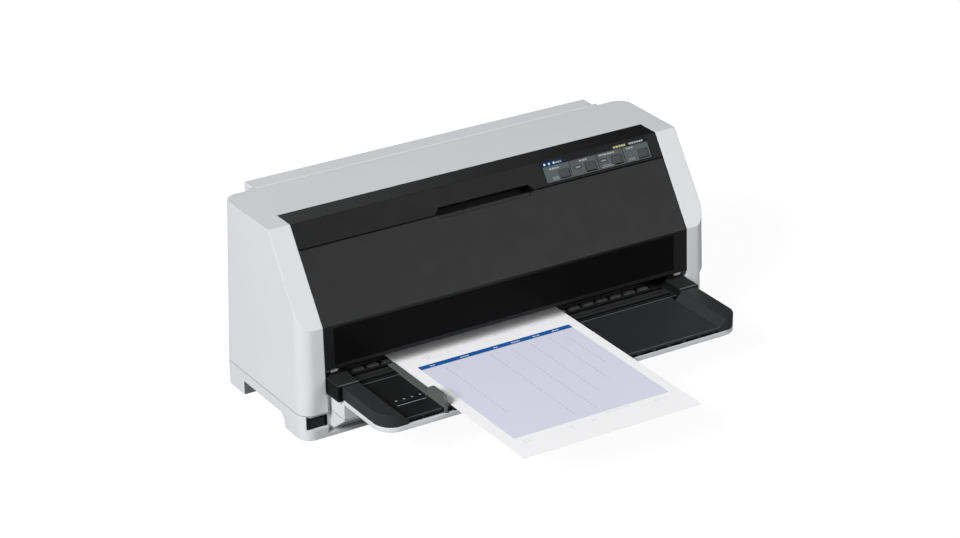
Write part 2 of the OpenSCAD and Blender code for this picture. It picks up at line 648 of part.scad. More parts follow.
module front_tray() color(tray_black) difference() {
    union() {
        intersection() {
            tray_outline([tray_z0, tray_top], tray_hw, tray_reach, tray_r, 20);
            both() y_prism([-tray_reach, -chin_reach - 0.3], [[skirt_hw - 4, tray_z0],
                [skirt_hw - 4, tray_floor_z], [tray_hw - tray_side_w - tray_slope, tray_floor_z],
                [tray_hw - tray_side_w, tray_top], [tray_hw, tray_top], [tray_hw, tray_z0]]);
        }
        box([-skirt_hw, skirt_hw], [-tray_reach + 1, -tray_rear],
            [tray_floor_z - tray_floor_t, tray_floor_z]);
        // front skirt under the lip, set back
        box([-skirt_hw, skirt_hw], [-tray_reach + 4, -tray_reach + 6],
            [tray_z0, tray_floor_z - tray_floor_t]);
        // rear hooks that rest on the chin
        both() box([tray_hw - 96, tray_hw - 28], [-27, -tray_rear], [chin_top,
            tray_floor_z - tray_floor_t]);
        box([-30, 30], [-27, -tray_rear], [chin_top, tray_floor_z - tray_floor_t]);
    }
    // slots in the skirt
    for (i = [-8:7]) box([i * 23 + 4, i * 23 + 19], [-tray_reach - 1, -tray_reach + 7],
        [tray_z0 - 1, tray_floor_z - tray_floor_t]);
    // slot that guides the edge guide
    box([-skirt_hw + 4, sheet_x0 + 42], guide_slot_y, [tray_z0 - 1, tray_top]);
    // shallow field with the size marks
    box([sheet_x0 - 42, sheet_x0 - 15], [-79, -75], [tray_floor_z - 0.8, tray_floor_z + 1]);
}

module tray_underside() color(shell_grey) difference() {
    tray_outline([tray_z0 - under_t, tray_z0], tray_hw + 1, tray_reach + 3, tray_r + 3, chin_reach + 0.5);
    tray_outline([tray_z0 - under_t + 2, tray_z0 + 1], tray_hw - 2, tray_reach, tray_r, chin_reach + 4);
}

module tray_mounts() color(tray_black) both() difference() {
    box(mount_x, mount_y, mount_z);
    // sloped outer rear corner
    y_prism([mount_y[0] - 1, mount_y[1] + 1], [[mount_x[1] - 2, mount_z[1] + 1],
        [mount_x[1] + 1, mount_z[1] + 1], [mount_x[1] + 1, mount_z[1] - 2]]);
}

guide_x = [sheet_x0 - 8.5, sheet_x0 - 0.7];
guide_foot = tray_floor_z + 0.3;
guide_z = [bed_z + 0.3, bed_z + 1.5];
fin_x = [guide_x[0] + 0.6, guide_x[0] + 3.8];
fin_top = guide_z[0] + 12.5;
fin_front = tray_reach + 2.8;
fin_round = 8;           // radius of the fin's front corner
module edge_guide() color([0.3, 0.32, 0.32]) {
    box(guide_x, [-tray_reach - 0.4, 3], guide_z);
    box(guide_x, [-tray_reach - 0.4, -tray_rear - 1], [guide_foot, guide_z[0]]);
    // fin with a rounded top, bent down over the tray's front edge
    intersection() {
        union() {
            x_rod(fin_x, [-84, guide_z[0]], fin_top - guide_z[0]);
            x_rod(fin_x, [-fin_front + fin_round, fin_top - fin_round], fin_round);
            box(fin_x, [-fin_front + fin_round, -84], [guide_z[0], fin_top]);
            box(fin_x, [-fin_front, -84], [guide_z[0], fin_top - fin_round]);
        }
        box(fin_x, [-fin_front, -60], [guide_z[0], fin_top]);
    }
    box(fin_x, [-fin_front, -tray_reach - 0.4], [tray_z0 + 0.6, fin_top - fin_round]);
    // tongue that runs in the tray's slot
    box([guide_x[0] + 1, guide_x[1] - 1], guide_slot_y + [0.4, -0.4], [tray_z0 + 1, guide_foot]);
}

module paper_sheet() color([0.97, 0.97, 0.98])
    box([sheet_x0, sheet_x0 + sheet_w], [-sheet_reach, sheet_l - sheet_reach], [sheet_z, sheet_top]);

// ---------------------------------------------------------------- chassis
gear_w = 5;
gear_m = 1;              // module
platen_teeth = 26;
feed_teeth = 18;
idler_teeth = 21;
pinion_teeth = 22;
frame_front = 9.5;
frame_back = 146;
frame_low_top = 80;
tower_top = 142;
tower_y = [30, 108];
idler_pin_r = 2.5;
gear_x = frame_x + frame_t + 1.5;      // inner face of the gears
platen_p = gear_m * platen_teeth / 2;
feed_p = gear_m * feed_teeth / 2;
idler_p = gear_m * idler_teeth / 2;
pinion_p = gear_m * pinion_teeth / 2;
motor = rear_feed + (feed_p + pinion_p) * [cos(-38.7), sin(-38.7)];
motor_r = 15;

// Where a gear meshes with two others: a and b are their centres, ra and rb the distances
function mesh_point(a, b, ra, rb, side) = let(d = norm(b - a), u = (b - a) / d,
    h = (d * d + ra * ra - rb * rb) / (2 * d), w = sqrt(ra * ra - h * h))
        a + h * u + side * w * [-u[1], u[0]];
front_idler = mesh_point(platen, front_feed, platen_p + idler_p, feed_p + idler_p, -1);
rear_idler = mesh_point(platen, rear_feed, platen_p + idler_p, feed_p + idler_p, 1);

module frame_plate(x) difference() {
    x_prism(x, [[frame_front, pan_top], [frame_back, pan_top], [frame_back, frame_low_top],
        [tower_y[1], frame_low_top], [tower_y[1], tower_top], [tower_y[0], tower_top],
        [tower_y[0], 78], [frame_front, 78]]);
    for (p = [front_feed, rear_feed]) x_rod(x + [-1, 1], p, feed_shaft_r + run_gap);
    for (p = [front_pinch, rear_pinch]) x_rod(x + [-1, 1], p, pinch_shaft_r + run_gap);
    x_rod(x + [-1, 1], platen, platen_shaft_r + run_gap);
    x_rod(x + [-1, 1], bed_roller, bed_rod_r + run_gap);
    x_rod(x + [-1, 1], [rod_y, rod_z], rod_r + run_gap);
    // lightening window and hand cut-out
    box(x + [-1, 1], [60, 84], [92, 128]);
}

module cartridge_shelf(m) box(m > 0 ? [frame_x - 8, frame_x] : [-frame_x, -frame_x + 8], [10, 26],
    [73, cart_z[0]]);

module side_frame_left() color(steel) {
    frame_plate([-frame_x - frame_t, -frame_x]);
    cartridge_shelf(-1);
}

module side_frame_right() color(steel) {
    difference() {
        frame_plate([frame_x, frame_x + frame_t]);
        x_rod([frame_x - 1, frame_x + frame_t + 1], motor, 7);
    }
    cartridge_shelf(1);
    for (p = [front_idler, rear_idler]) x_rod([frame_x + frame_t - 0.5, gear_x + gear_w + 0.8], p,
        idler_pin_r);
}

module chassis_pan() color([0.6, 0.61, 0.63]) difference() {
    union() {
        box([-frame_x - frame_t, frame_x + frame_t], [frame_front, frame_back], [base_floor, pan_top]);
        // standoffs of the two boards
        for (x = main_x + [6, -6], y = main_y + [6, -7]) z_rod([pan_top - 0.5, board_z], [x, y], 3);
        for (x = supply_x + [6, -6], y = supply_y + [6, -6]) z_rod([pan_top - 0.5, board_z], [x, y], 3);
    }
    for (i = [-vent_n:vent_n]) box(span(i * vent_pitch, vent_w / 2), vent_y, [base_floor - 1, pan_top + 1]);
}

// ---------------------------------------------------------------- paper path
bed_t = 3;
ledge_pitch = (mount_x[0] - 5) / 4;
roller_w = 13;
feed_pitch = 2 * pinch_pitch;
feed_n = 4;
bed_n = floor((frame_x - 20) / pinch_pitch);
bed_rod_r = 2.1;
bed_slot_hw = bed_n * pinch_pitch + bed_roller_w / 2 + 1.5;
bed_cut = [bed_z - bed_t - 2, bed_z + 1];
feed_cut = 8;            // half length of a feed roller's opening
platen_cut = 9.8;        // half length of the platen's opening

module paper_bed() color([0.13, 0.13, 0.135]) difference() {
    union() {
        box([-mount_x[0] + 0.5, mount_x[0] - 0.5], [-tray_rear + 1, 4], [bed_z - bed_t, bed_z]);
        box([-frame_x, frame_x], [3.9, 122], [bed_z - bed_t, bed_z]);
        // front edge turned down onto the chin
        box([-mount_x[0] + 0.5, mount_x[0] - 0.5], [-tray_rear + 1, -tray_rear + 2.5],
            [chin_top, bed_z]);
    }
    for (i = [-feed_n:feed_n], p = [front_feed, rear_feed])
        box(span(i * feed_pitch, roller_w / 2 + 1), span(p[0], feed_cut), bed_cut);
    box(span(0, platen_l / 2 + 2), span(print_y, platen_cut), bed_cut);
    // long slot for the row of small rollers
    box(span(0, bed_slot_hw), span(bed_roller[0], bed_roller_r + 1), bed_cut);
    // two rows of long slots in the front ledge, with bridges between them
    for (i = [-4:3]) {
        box([i, i + 1] * ledge_pitch + [1.5, -1.5], [-6.8, -3.6], bed_cut);
        box([i, i + 1] * ledge_pitch + [1.5, -1.5], [-15.2, -9.8], bed_cut);
    }
}

module platen_roller() color(rubber_black) difference() {
    x_rod([-platen_l / 2, platen_l / 2], platen, platen_r);
    x_rod([-platen_l / 2 - 1, platen_l / 2 + 1], platen, platen_shaft_r);
}

knob_x = [recess_x + 0.6, body_w / 2 - 0.5];
module platen_shaft() color(steel)
    x_rod([-frame_x - frame_t - 2, knob_x[0] + 5], platen, platen_shaft_r);

module paper_knob() color(cover_black) difference() {
    x_rod(knob_x, platen, knob_r);
    x_rod([knob_x[0] - 1, knob_x[0] + 5], platen, platen_shaft_r);
    for (i = [0:17]) x_rod([knob_x[0] + 2, knob_x[1] + 1], platen + (knob_r + 0.6) * [cos(i * 20),
        sin(i * 20)], 1.5);
    x_rod([knob_x[1] - 1.2, knob_x[1] + 1], platen, knob_r - 4);
}

module feed_shaft(p, x1) color(steel) x_rod([-frame_x - frame_t - 2, x1], p, feed_shaft_r);
module feed_rollers(p) color(rubber_black) for (i = [-feed_n:feed_n]) difference() {
    x_rod([i * feed_pitch - roller_w / 2, i * feed_pitch + roller_w / 2], p, feed_r);
    x_rod([i * feed_pitch - roller_w, i * feed_pitch + roller_w], p, feed_shaft_r);
}
module pinch_shaft(p, hw) color(steel) x_rod([-hw, hw], p, pinch_shaft_r);
module pinch_rollers(p) color(rubber_black) for (i = [-2 * feed_n:2 * feed_n]) difference() {
    x_rod([i * pinch_pitch - pinch_w / 2, i * pinch_pitch + pinch_w / 2], p, pinch_r);
    x_rod([i * pinch_pitch - pinch_w, i * pinch_pitch + pinch_w], p, pinch_shaft_r);
}
// Small free rollers in one piece with their rod, each with stepped ends
module bed_rollers() color(rubber_black) {
    x_rod([-frame_x - frame_t - 1, frame_x + frame_t + 1], bed_roller, bed_rod_r);
    for (i = [-bed_n:bed_n]) {
        x_rod(span(i * pinch_pitch, bed_roller_w / 2), bed_roller, bed_roller_r - 0.6);
        x_rod(span(i * pinch_pitch, bed_roller_w / 2 - 1.2), bed_roller, bed_roller_r);
    }
}
module front_feed_shaft() feed_shaft(front_feed, gear_x + gear_w + 1);
module front_feed_rollers() feed_rollers(front_feed);
module front_pinch_shaft() pinch_shaft(front_pinch, frame_x + frame_t + 1);
module front_pinch_rollers() pinch_rollers(front_pinch);
module rear_feed_shaft() feed_shaft(rear_feed, gear_x + gear_w + 1);
module rear_feed_rollers() feed_rollers(rear_feed);
module rear_pinch_shaft() pinch_shaft(rear_pinch, frame_x + frame_t + 1);
module rear_pinch_rollers() pinch_rollers(rear_pinch);

// ---------------------------------------------------------------- gears
pressure = 20;
backlash = 0.12;          // share of a tooth's width that is left free
function inv(a) = tan(a) * 180 / PI - a;
// Half the angle that a tooth takes at radius r
function tooth_half(n, r) = let(rb = gear_m * n / 2 * cos(pressure))
    90 / n * (1 - backlash) + inv(pressure) - inv(r > rb ? acos(rb / r) : 0);
module gear_outline(n, phase) {
    r0 = gear_m * n / 2 - 1.2 * gear_m;
    r3 = gear_m * n / 2 + 0.92 * gear_m;
    rb = max(r0 + 0.1, gear_m * n / 2 * cos(pressure));
    rs = [r0, rb, (rb + r3) / 2, r3];
    polygon([for (i = [0:n - 1]) let(a = phase + i * 360 / n) each concat(
        [for (r = rs) r * [cos(a - tooth_half(n, r)), sin(a - tooth_half(n, r))]],
        [for (k = [3:-1:0]) rs[k] * [cos(a + tooth_half(n, rs[k])), sin(a + tooth_half(n, rs[k]))]])]);
}
module spur_gear(p, n, phase, x, bore) difference() {
    translate([x[0], bend_y + p[0], p[1]]) rotate([90, 0, 90]) linear_extrude(x[1] - x[0])
        gear_outline(n, phase);
    x_rod(x + [-1, 1], p, bore);
}
// Angle of the line from a to b, and the phase that meshes gear b with gear a
function bearing_of(a, b) = atan2(b[1] - a[1], b[0] - a[0]);
function mesh_phase(a, b, phase_a, na, nb) = let(al = bearing_of(a, b))
    al + 180 - (0.5 - (al - phase_a) * na / 360) * 360 / nb;
front_idler_phase = mesh_phase(platen, front_idler, 0, platen_teeth, idler_teeth);
rear_idler_phase = mesh_phase(platen, rear_idler, 0, platen_teeth, idler_teeth);
front_feed_phase = mesh_phase(front_idler, front_feed, front_idler_phase, idler_teeth, feed_teeth);
rear_feed_phase = mesh_phase(rear_idler, rear_feed, rear_idler_phase, idler_teeth, feed_teeth);
pinion_phase = mesh_phase(rear_feed, motor, rear_feed_phase, feed_teeth, pinion_teeth);
gears_x = [gear_x, gear_x + gear_w];

module platen_gear() color(gear_white)
    spur_gear(platen, platen_teeth, 0, gears_x, platen_shaft_r);
module front_idler_gear() color(gear_white)
    spur_gear(front_idler, idler_teeth, front_idler_phase, gears_x, idler_pin_r + run_gap);
module rear_idler_gear() color(gear_white)
    spur_gear(rear_idler, idler_teeth, rear_idler_phase, gears_x, idler_pin_r + run_gap);
module front_feed_gear() color(gear_white)
    spur_gear(front_feed, feed_teeth, front_feed_phase, gears_x, feed_shaft_r);
module rear_feed_gear() color(gear_white)
    spur_gear(rear_feed, feed_teeth, rear_feed_phase, gears_x, feed_shaft_r);

motor_shaft_r = 2;
module feed_motor() color([0.35, 0.36, 0.38]) difference() {
    union() {
        x_rod([frame_x - 36, frame_x], motor, motor_r);
        x_rod([frame_x - 1, frame_x + frame_t + 0.5], motor, 6);
        box([frame_x - 30, frame_x - 12], span(motor[0], 6), [motor[1] - motor_r, motor[1]]);
    }
    x_rod([frame_x - 20, frame_x + frame_t + 1], motor, motor_shaft_r + run_gap);
}
module feed_pinion() color(gear_white) {
    spur_gear(motor, pinion_teeth, pinion_phase, gears_x, 1);
    x_rod([frame_x - 18, gears_x[1]], motor, motor_shaft_r);
}

// ---------------------------------------------------------------- carriage
module guide_rod() color(steel)
    x_rod([-frame_x - frame_t - 7.5, frame_x + frame_t + 1], [rod_y, rod_z], rod_r);

rail_y = [100, 102];
rail_z = [72, 104];
rail_lip = 10;
pulley_y = [rail_y[0] - 9, rail_y[0] - 1];
belt_y = [pulley_y[0] + 1, pulley_y[0] + 1 + belt_w];
bracket_z = 142;
cr_motor_r = 20;

module carriage_rail() color(steel) {
    difference() {
        union() {
            box([-frame_x, frame_x], rail_y, rail_z);
            box([-frame_x, frame_x], [rail_y[0] - rail_lip, rail_y[0]], [rail_z[1] - 1.5, rail_z[1]]);
            for (x = [[-frame_x, -frame_x + 50], [frame_x - 51, frame_x]])
                box(x, rail_y, [rail_z[0], bracket_z]);
        }
        y_rod([rail_y[0] - 1, rail_y[1] + 1], [pulley_x, pulley_z], 8);
        for (i = [-5:5]) box([i * 26 - 8, i * 26 + 8], [rail_y[0] - 1, rail_y[1] + 1], [78, 92]);
        // the lip stops short of the pulleys
        both() box([pulley_x - 16, frame_x + 1], [rail_y[0] - rail_lip - 1, rail_y[0] - 0.01],
            [rail_z[1] - 5, rail_z[1] + 5]);
    }
    // stud of the idler pulley
    y_rod([pulley_y[0] - 0.6, rail_y[0]], [-pulley_x, pulley_z], idler_pin_r);
}

bush_r = 8.5;
carriage_z = [74, 78];   // plate that carries the head
shoe_y = [85.5, 97];     // shoe that slides on the rail's lip
shoe_hw = 12;
arm_x = [frame_x - 37, frame_x - 15];
carriage_x = -arm_x[0] + carriage_rest + carriage_w / 2;
module print_carriage() color([0.22, 0.22, 0.23]) translate([carriage_x, 0, 0]) difference() {
    union() {
        x_rod([-carriage_w / 2, carriage_w / 2], [rod_y, rod_z], bush_r);
        box(span(0, carriage_w / 2), [rod_y - 4, shoe_y[0] + 2.5], carriage_z);
        for (m = [-1, 1]) box(span(m * (carriage_w / 2 - 1), 1), [rod_y, shoe_y[0] + 2.5],
            [carriage_z[0], 90]);
        // rear upright, slide shoe and belt clamp
        box(span(0, shoe_hw), [shoe_y[0], shoe_y[0] + 3], [carriage_z[0], rail_z[1] + 3]);
        box(span(0, shoe_hw), shoe_y, [rail_z[1] + 0.4, rail_z[1] + 3]);
        box(span(0, shoe_hw), shoe_y, [rail_z[1] - 4.9, rail_z[1] - 1.9]);
        box([-8, 8], [belt_y[0] - 2, belt_y[1] + 1.2], [rail_z[1] + 3, pulley_z - belt_r + 3]);
    }
    x_rod([-carriage_w / 2 - 1, carriage_w / 2 + 1], [rod_y, rod_z], rod_r + run_gap);
    z_rod([carriage_z[0] - 14, carriage_z[1] + 1], [0, print_y], head_r + 0.3);
    // channel for the belt
    box([-9, 9], [belt_y[0] - 0.4, belt_y[1] + 3], [pulley_z - belt_r - belt_t - 0.4,
        pulley_z - belt_r + 0.4]);
}

nose_top = 66;
fins_z = 97.5;           // underside of the lowest cooling fin
fin_n = 8;
fin_w = 46;
fin_t = 1.4;
fin_pitch = 3.2;
module print_head() color([0.42, 0.43, 0.45]) translate([carriage_x, 0, 0]) {
    y_prism(span(print_y, 7.5), [[-7, nose_z], [7, nose_z], [12, nose_top], [-12, nose_top]]);
    z_rod([nose_top, fins_z - 5.5], [0, print_y], head_r);
    z_rod([carriage_z[1], carriage_z[1] + 3], [0, print_y], head_r + 1.8);
    z_rod([fins_z - 5.5, fins_z - 0.5 + (fin_n - 1) * fin_pitch + fin_t], [0, print_y], 13);
    for (i = [0:fin_n - 1]) translate([0, bend_y + print_y, fins_z + i * fin_pitch])
        linear_extrude(fin_t) square(fin_w, center = true);
}

cart_y = [9.5, 26.5];
cart_z = [76, 96];
ribbon_x = -frame_x + 35;
module ribbon_cartridge() color([0.15, 0.15, 0.16]) {
    difference() {
        union() {
            box([-frame_x + 1, frame_x - 1], cart_y, cart_z);
            both() x_prism(arm_x, [[18, cart_z[0] + 1], [cart_y[1], cart_z[0] + 4], [36, 79], [70, 72],
                [72, 68], [72, ribbon_z + ribbon_t], [54, ribbon_z + ribbon_t], [44, 70],
                [18, cart_z[0] - 1]]);
        }
        // grip hollow in the middle of the top
        box([-30, 30], [cart_y[0] + 4, cart_y[1] - 4], [cart_z[1] - 6, cart_z[1] + 1]);
    }
    z_rod([cart_z[1], cart_z[1] + 2], [ribbon_x, (cart_y[0] + cart_y[1]) / 2], 4);
}
module ribbon_strip() color([0.05, 0.05, 0.08])
    box([-arm_x[1] + 3, arm_x[1] - 3], span(print_y, 6.5), [ribbon_z, ribbon_z + ribbon_t]);
module ribbon_knob() color([0.3, 0.45, 0.75]) difference() {
    z_rod([cart_z[1] + 2.3, cart_z[1] + 10], [ribbon_x, (cart_y[0] + cart_y[1]) / 2], 8.6);
    for (i = [0:11]) z_rod([cart_z[1] + 4, cart_z[1] + 11], [ribbon_x + 9 * cos(i * 30),
        (cart_y[0] + cart_y[1]) / 2 + 9 * sin(i * 30)], 1.1);
}

// Flat loop of the belt, seen from the front
module belt_loop(r, h) {
    for (m = [-1, 1]) translate([m * pulley_x, 0]) circle(r = r);
    translate([-pulley_x, -r]) square([2 * pulley_x, 2 * r]);
}
module carriage_belt() color([0.12, 0.12, 0.12])
    translate([0, bend_y + belt_y[1], pulley_z]) rotate([90, 0, 0]) linear_extrude(belt_w) difference() {
        belt_loop(belt_r + belt_t);
        belt_loop(belt_r);
    }
module pulley(x, bore) difference() {
    union() {
        y_rod([pulley_y[0], pulley_y[1]], [x, pulley_z], belt_r - 0.3);
        y_rod([pulley_y[0], pulley_y[0] + 0.7], [x, pulley_z], belt_r + 3);
        y_rod([pulley_y[1] - 0.7, pulley_y[1]], [x, pulley_z], belt_r + 3);
    }
    if (bore > 0) y_rod([pulley_y[0] - 1, pulley_y[1] + 1], [x, pulley_z], bore);
    for (i = [0:15]) y_rod([pulley_y[0] + 0.8, pulley_y[1] - 0.8], [x + (belt_r + 0.1) * cos(i * 22.5),
        pulley_z + (belt_r + 0.1) * sin(i * 22.5)], 0.8);
}
module drive_pulley() color(gear_white) {
    pulley(pulley_x, 0);
    y_rod([pulley_y[1] - 1, rail_y[1] + 12], [pulley_x, pulley_z], motor_shaft_r);
}
module idler_pulley() color(gear_white) pulley(-pulley_x, idler_pin_r + run_gap);
module carriage_motor() color([0.35, 0.36, 0.38]) difference() {
    union() {
        y_rod([rail_y[1], rail_y[1] + 34], [pulley_x, pulley_z], cr_motor_r);
        y_rod([rail_y[0] - 0.2, rail_y[1] + 1], [pulley_x, pulley_z], 7);
    }
    y_rod([rail_y[0] - 1, rail_y[1] + 14], [pulley_x, pulley_z], motor_shaft_r + run_gap);
}
lever_x = [-frame_x - frame_t - 6.5, -frame_x - frame_t - 2];
module gap_lever() color([0.3, 0.45, 0.75]) difference() {
    union() {
        x_rod(lever_x, [rod_y, rod_z], rod_r + 4);
        x_prism(lever_x, [[rod_y - 4, rod_z], [rod_y + 4, rod_z], [rod_y + 2.5, rod_z + 32],
            [rod_y - 2.5, rod_z + 32]]);
        x_rod(lever_x + [-1.5, 0], [rod_y, rod_z + 32], 4);
    }
    x_rod(lever_x + [-1, 1], [rod_y, rod_z], rod_r + run_gap);
}

// ---------------------------------------------------------------- boards and ports
board_z = 27.9;
board_t = 1.6;
board_top = board_z + board_t;
main_x = [-frame_x + 9, -2];
main_y = [82, 155];
supply_x = [16, frame_x - 55];
supply_y = [82, 150];
module chip(x, y, w, d, h) box([x, x + w], [y, y + d], [board_top - 0.2, board_top + h]);
module main_board() color(board_green) {
    box(main_x, main_y, [board_z, board_top]);
    chip(-150, 92, 28, 28, 2.5);
    chip(-105, 94, 40, 14, 4);
    chip(-105, 118, 40, 14, 4);
    chip(-50, 96, 12, 20, 5);
    chip(-30, 90, 18, 8, 6);
    for (i = [0:4]) z_rod([board_top - 0.2, board_top + 8], [-160 + i * 11, 128], 4);
    for (i = [0:3]) chip(-92 + i * 22, 140, 14, 6, 7);
}
module power_supply() color(board_green) {
    box(supply_x, supply_y, [board_z, board_top]);
    chip(24, 90, 34, 30, 8);
    z_rod([board_top - 0.2, board_top + 7.6], [78, 100], 11);
    for (i = [0:5]) box([supply_x[1] - 46 + i * 6, supply_x[1] - 44 + i * 6], [88, 126],
        [board_top - 0.2, board_top + 9]);
    box([supply_x[1] - 46, supply_x[1] - 14], [88, 126], [board_top - 0.2, board_top + 2]);
    z_rod([board_top - 0.2, board_top + 12], [40, 138], 7);
    z_rod([board_top - 0.2, board_top + 12], [62, 138], 7);
}
module mains_inlet() color(deep_black) {
    difference() {
        union() {
            box(inlet_x + [0.3, -0.3], [frame_back + 1, flange_y + 1], inlet_z + [0.3, -0.3]);
            box(inlet_x + [-2.5, 2.5], [flange_y, flange_y + 3], inlet_z + [-2.5, 2.5]);
        }
        box(inlet_x + [1.4, -1.4], [frame_back + 3, body_back + 3], inlet_z + [2.1, -2.1]);
    }
    for (dx = [-6.5, 0, 6.5]) box(span((inlet_x[0] + inlet_x[1]) / 2 + dx, 1), [frame_back + 2.5,
        body_back - 5], span((inlet_z[0] + inlet_z[1]) / 2, 2));
}
module rear_ports() color([0.75, 0.75, 0.76]) {
    difference() {
        box(parallel_x + [1, -1], [143, body_back + 3.5], [board_top, port_z[1] - 0.5]);
        box(parallel_x + [2.4, -2.4], [body_back - 5, body_back + 4], [board_top + 1.4, port_z[1] - 1.9]);
    }
    box(parallel_x + [9, -9], [body_back - 6, body_back + 2], [board_top + 4.4, port_z[1] - 4.6]);
    difference() {
        box(usb_x + [1, -1], [143, body_back + 1], [board_top, port_z[1] - 1]);
        box(usb_x + [2.2, -2.2], [body_back - 7, body_back + 4], [board_top + 1.2, port_z[1] - 2.2]);
    }
    box(usb_x + [4.2, -4.2], [body_back - 8, body_back], [board_top + 4, port_z[1] - 4.5]);
}

base_case();
rubber_feet();
upper_housing();
control_bezel();
key_panel();
status_lamps();
key_1();
key_2();
key_3();
key_4();
switch_body();
power_rocker();
front_cover();
cover_window();
rear_cover();
front_tray();
tray_underside();
tray_mounts();
edge_guide();
paper_sheet();
side_frame_left();
side_frame_right();
chassis_pan();
paper_bed();
platen_roller();
platen_shaft();
platen_gear();
paper_knob();
bed_rollers();
front_feed_shaft();
front_feed_rollers();
front_feed_gear();
front_pinch_shaft();
front_pinch_rollers();
rear_feed_shaft();
rear_feed_rollers();
rear_feed_gear();
rear_pinch_shaft();
rear_pinch_rollers();
front_idler_gear();
rear_idler_gear();
feed_motor();
feed_pinion();
guide_rod();
carriage_rail();
print_carriage();
print_head();
ribbon_cartridge();
ribbon_strip();
ribbon_knob();
carriage_belt();
drive_pulley();
idler_pulley();
carriage_motor();
gap_lever();
main_board();
power_supply();
mains_inlet();
rear_ports();
case_screws();
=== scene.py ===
import json
import math

import bmesh
import bpy
from mathutils import Matrix, Vector


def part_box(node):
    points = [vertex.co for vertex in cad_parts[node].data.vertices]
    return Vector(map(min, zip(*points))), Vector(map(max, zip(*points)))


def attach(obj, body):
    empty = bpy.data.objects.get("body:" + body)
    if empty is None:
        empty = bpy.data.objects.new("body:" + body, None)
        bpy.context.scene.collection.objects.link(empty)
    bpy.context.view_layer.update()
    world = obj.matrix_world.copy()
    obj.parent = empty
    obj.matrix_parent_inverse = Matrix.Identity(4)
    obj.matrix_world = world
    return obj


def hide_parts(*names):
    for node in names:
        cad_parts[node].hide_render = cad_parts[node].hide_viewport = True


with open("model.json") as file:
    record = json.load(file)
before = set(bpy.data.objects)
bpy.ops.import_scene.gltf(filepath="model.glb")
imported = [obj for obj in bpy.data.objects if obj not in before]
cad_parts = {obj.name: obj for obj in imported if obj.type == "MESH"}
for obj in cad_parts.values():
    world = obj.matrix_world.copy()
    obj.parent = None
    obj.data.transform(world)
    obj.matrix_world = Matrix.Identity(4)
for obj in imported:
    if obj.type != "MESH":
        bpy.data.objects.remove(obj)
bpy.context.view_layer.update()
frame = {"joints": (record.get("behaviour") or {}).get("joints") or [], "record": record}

# ============================================================ measures
# Lengths are in millimetres, unless a comment says metres. Depths (y) are counted from the
# front bend line, where the slanted front meets its upright lower part.
MM = 0.001
BEND_Y = 28.0           # the bend line, in the part's frame
BEND_Z = 120.5
FOLD_Y = 62.0           # the fold between the slant and the flat top
TOP_Z = 210.0
LEAN = 4.7 / 92.5       # forward lean of the upright front, for each millimetre below the bend

SLANT = math.hypot(FOLD_Y, TOP_Z - BEND_Z)
UP = (FOLD_Y / SLANT, (TOP_Z - BEND_Z) / SLANT)      # y and z of a step up the slant
OUT = (-UP[1], UP[0])                                 # y and z of a step out of it

# How far thin layers lie above the surface they are on, from the lowest to the highest
PRINT_LIFT, TRIM_LIFT, LINE_LIFT, MARK_LIFT = 0.02, 0.03, 0.04, 0.05

BODY = {n: b for b, nodes in frame["record"]["behaviour"]["bodies"].items() for n in nodes}


def local(point):
    """A point of the part's frame, given in metres, in this script's millimetres."""
    x, y, z = point
    return round(x / MM, 2), round(y / MM - BEND_Y, 2), round(z / MM, 2)


def box(node):
    """The lowest and highest corner of a CAD node."""
    return [local(corner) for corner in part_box(node)]


def pivot(name):
    """A point on the axis of a hinge."""
    return next(local(joint["pos_m"]) for joint in frame["joints"] if joint["name"] == name)


def at(x, y, z):
    """A point in metres, in the part's frame."""
    return Vector((x * MM, (BEND_Y + y) * MM, z * MM))


def on_slant(x, s, t=0.0):
    """A point s up the slanted front and t out of it."""
    return at(x, s * UP[0] + t * OUT[0], BEND_Z + s * UP[1] + t * OUT[1])


def out_of_slant(p):
    """How far a point lies out of the slanted front."""
    return p.y * OUT[0] + (p.z - BEND_Z) * OUT[1]


# ============================================================ materials
TONE_SCALE, GLOSS_SCALE = 9.0, 60.0      # of the slow unevenness in colour and in gloss
GLOSS_SPREAD = 0.05
GRAIN_HEIGHT = 0.0002                    # metres


def tree(name):
    """A new material with its node tree and its shader."""
    mat = bpy.data.materials.new(name)
    mat.use_nodes = True
    nt = mat.node_tree
    return mat, nt, nt.nodes["Principled BSDF"]


def add(nt, kind, inputs=None, **attributes):
    """A new node with its attributes and the values of its inputs."""
    node = nt.nodes.new(kind)
    for key, value in attributes.items():
        setattr(node, key, value)
    for key, value in (inputs or {}).items():
        node.inputs[key].default_value = value
    return node


def noise(nt, scale, detail=3.0):
    """Noise that is fixed to the object."""
    coord = nt.nodes.get("Place") or add(nt, "ShaderNodeTexCoord", name="Place")
    tex = add(nt, "ShaderNodeTexNoise", {"Scale": scale, "Detail": detail, "Roughness": 0.5})
    nt.links.new(coord.outputs["Object"], tex.inputs["Vector"])
    return tex.outputs["Fac"]


def ramp(nt, fac, stops):
    """Colours by a factor: each stop is a place and a colour."""
    node = add(nt, "ShaderNodeValToRGB")
    first, last = node.color_ramp.elements
    first.position, first.color = stops[0]
    last.position, last.color = stops[-1]
    for place, colour in stops[1:-1]:
        node.color_ramp.elements.new(place).color = colour
    nt.links.new(fac, node.inputs["Fac"])
    return node.outputs["Color"]


def shade(colour, k=1.0):
    return (colour[0] * k, colour[1] * k, colour[2] * k, 1.0)


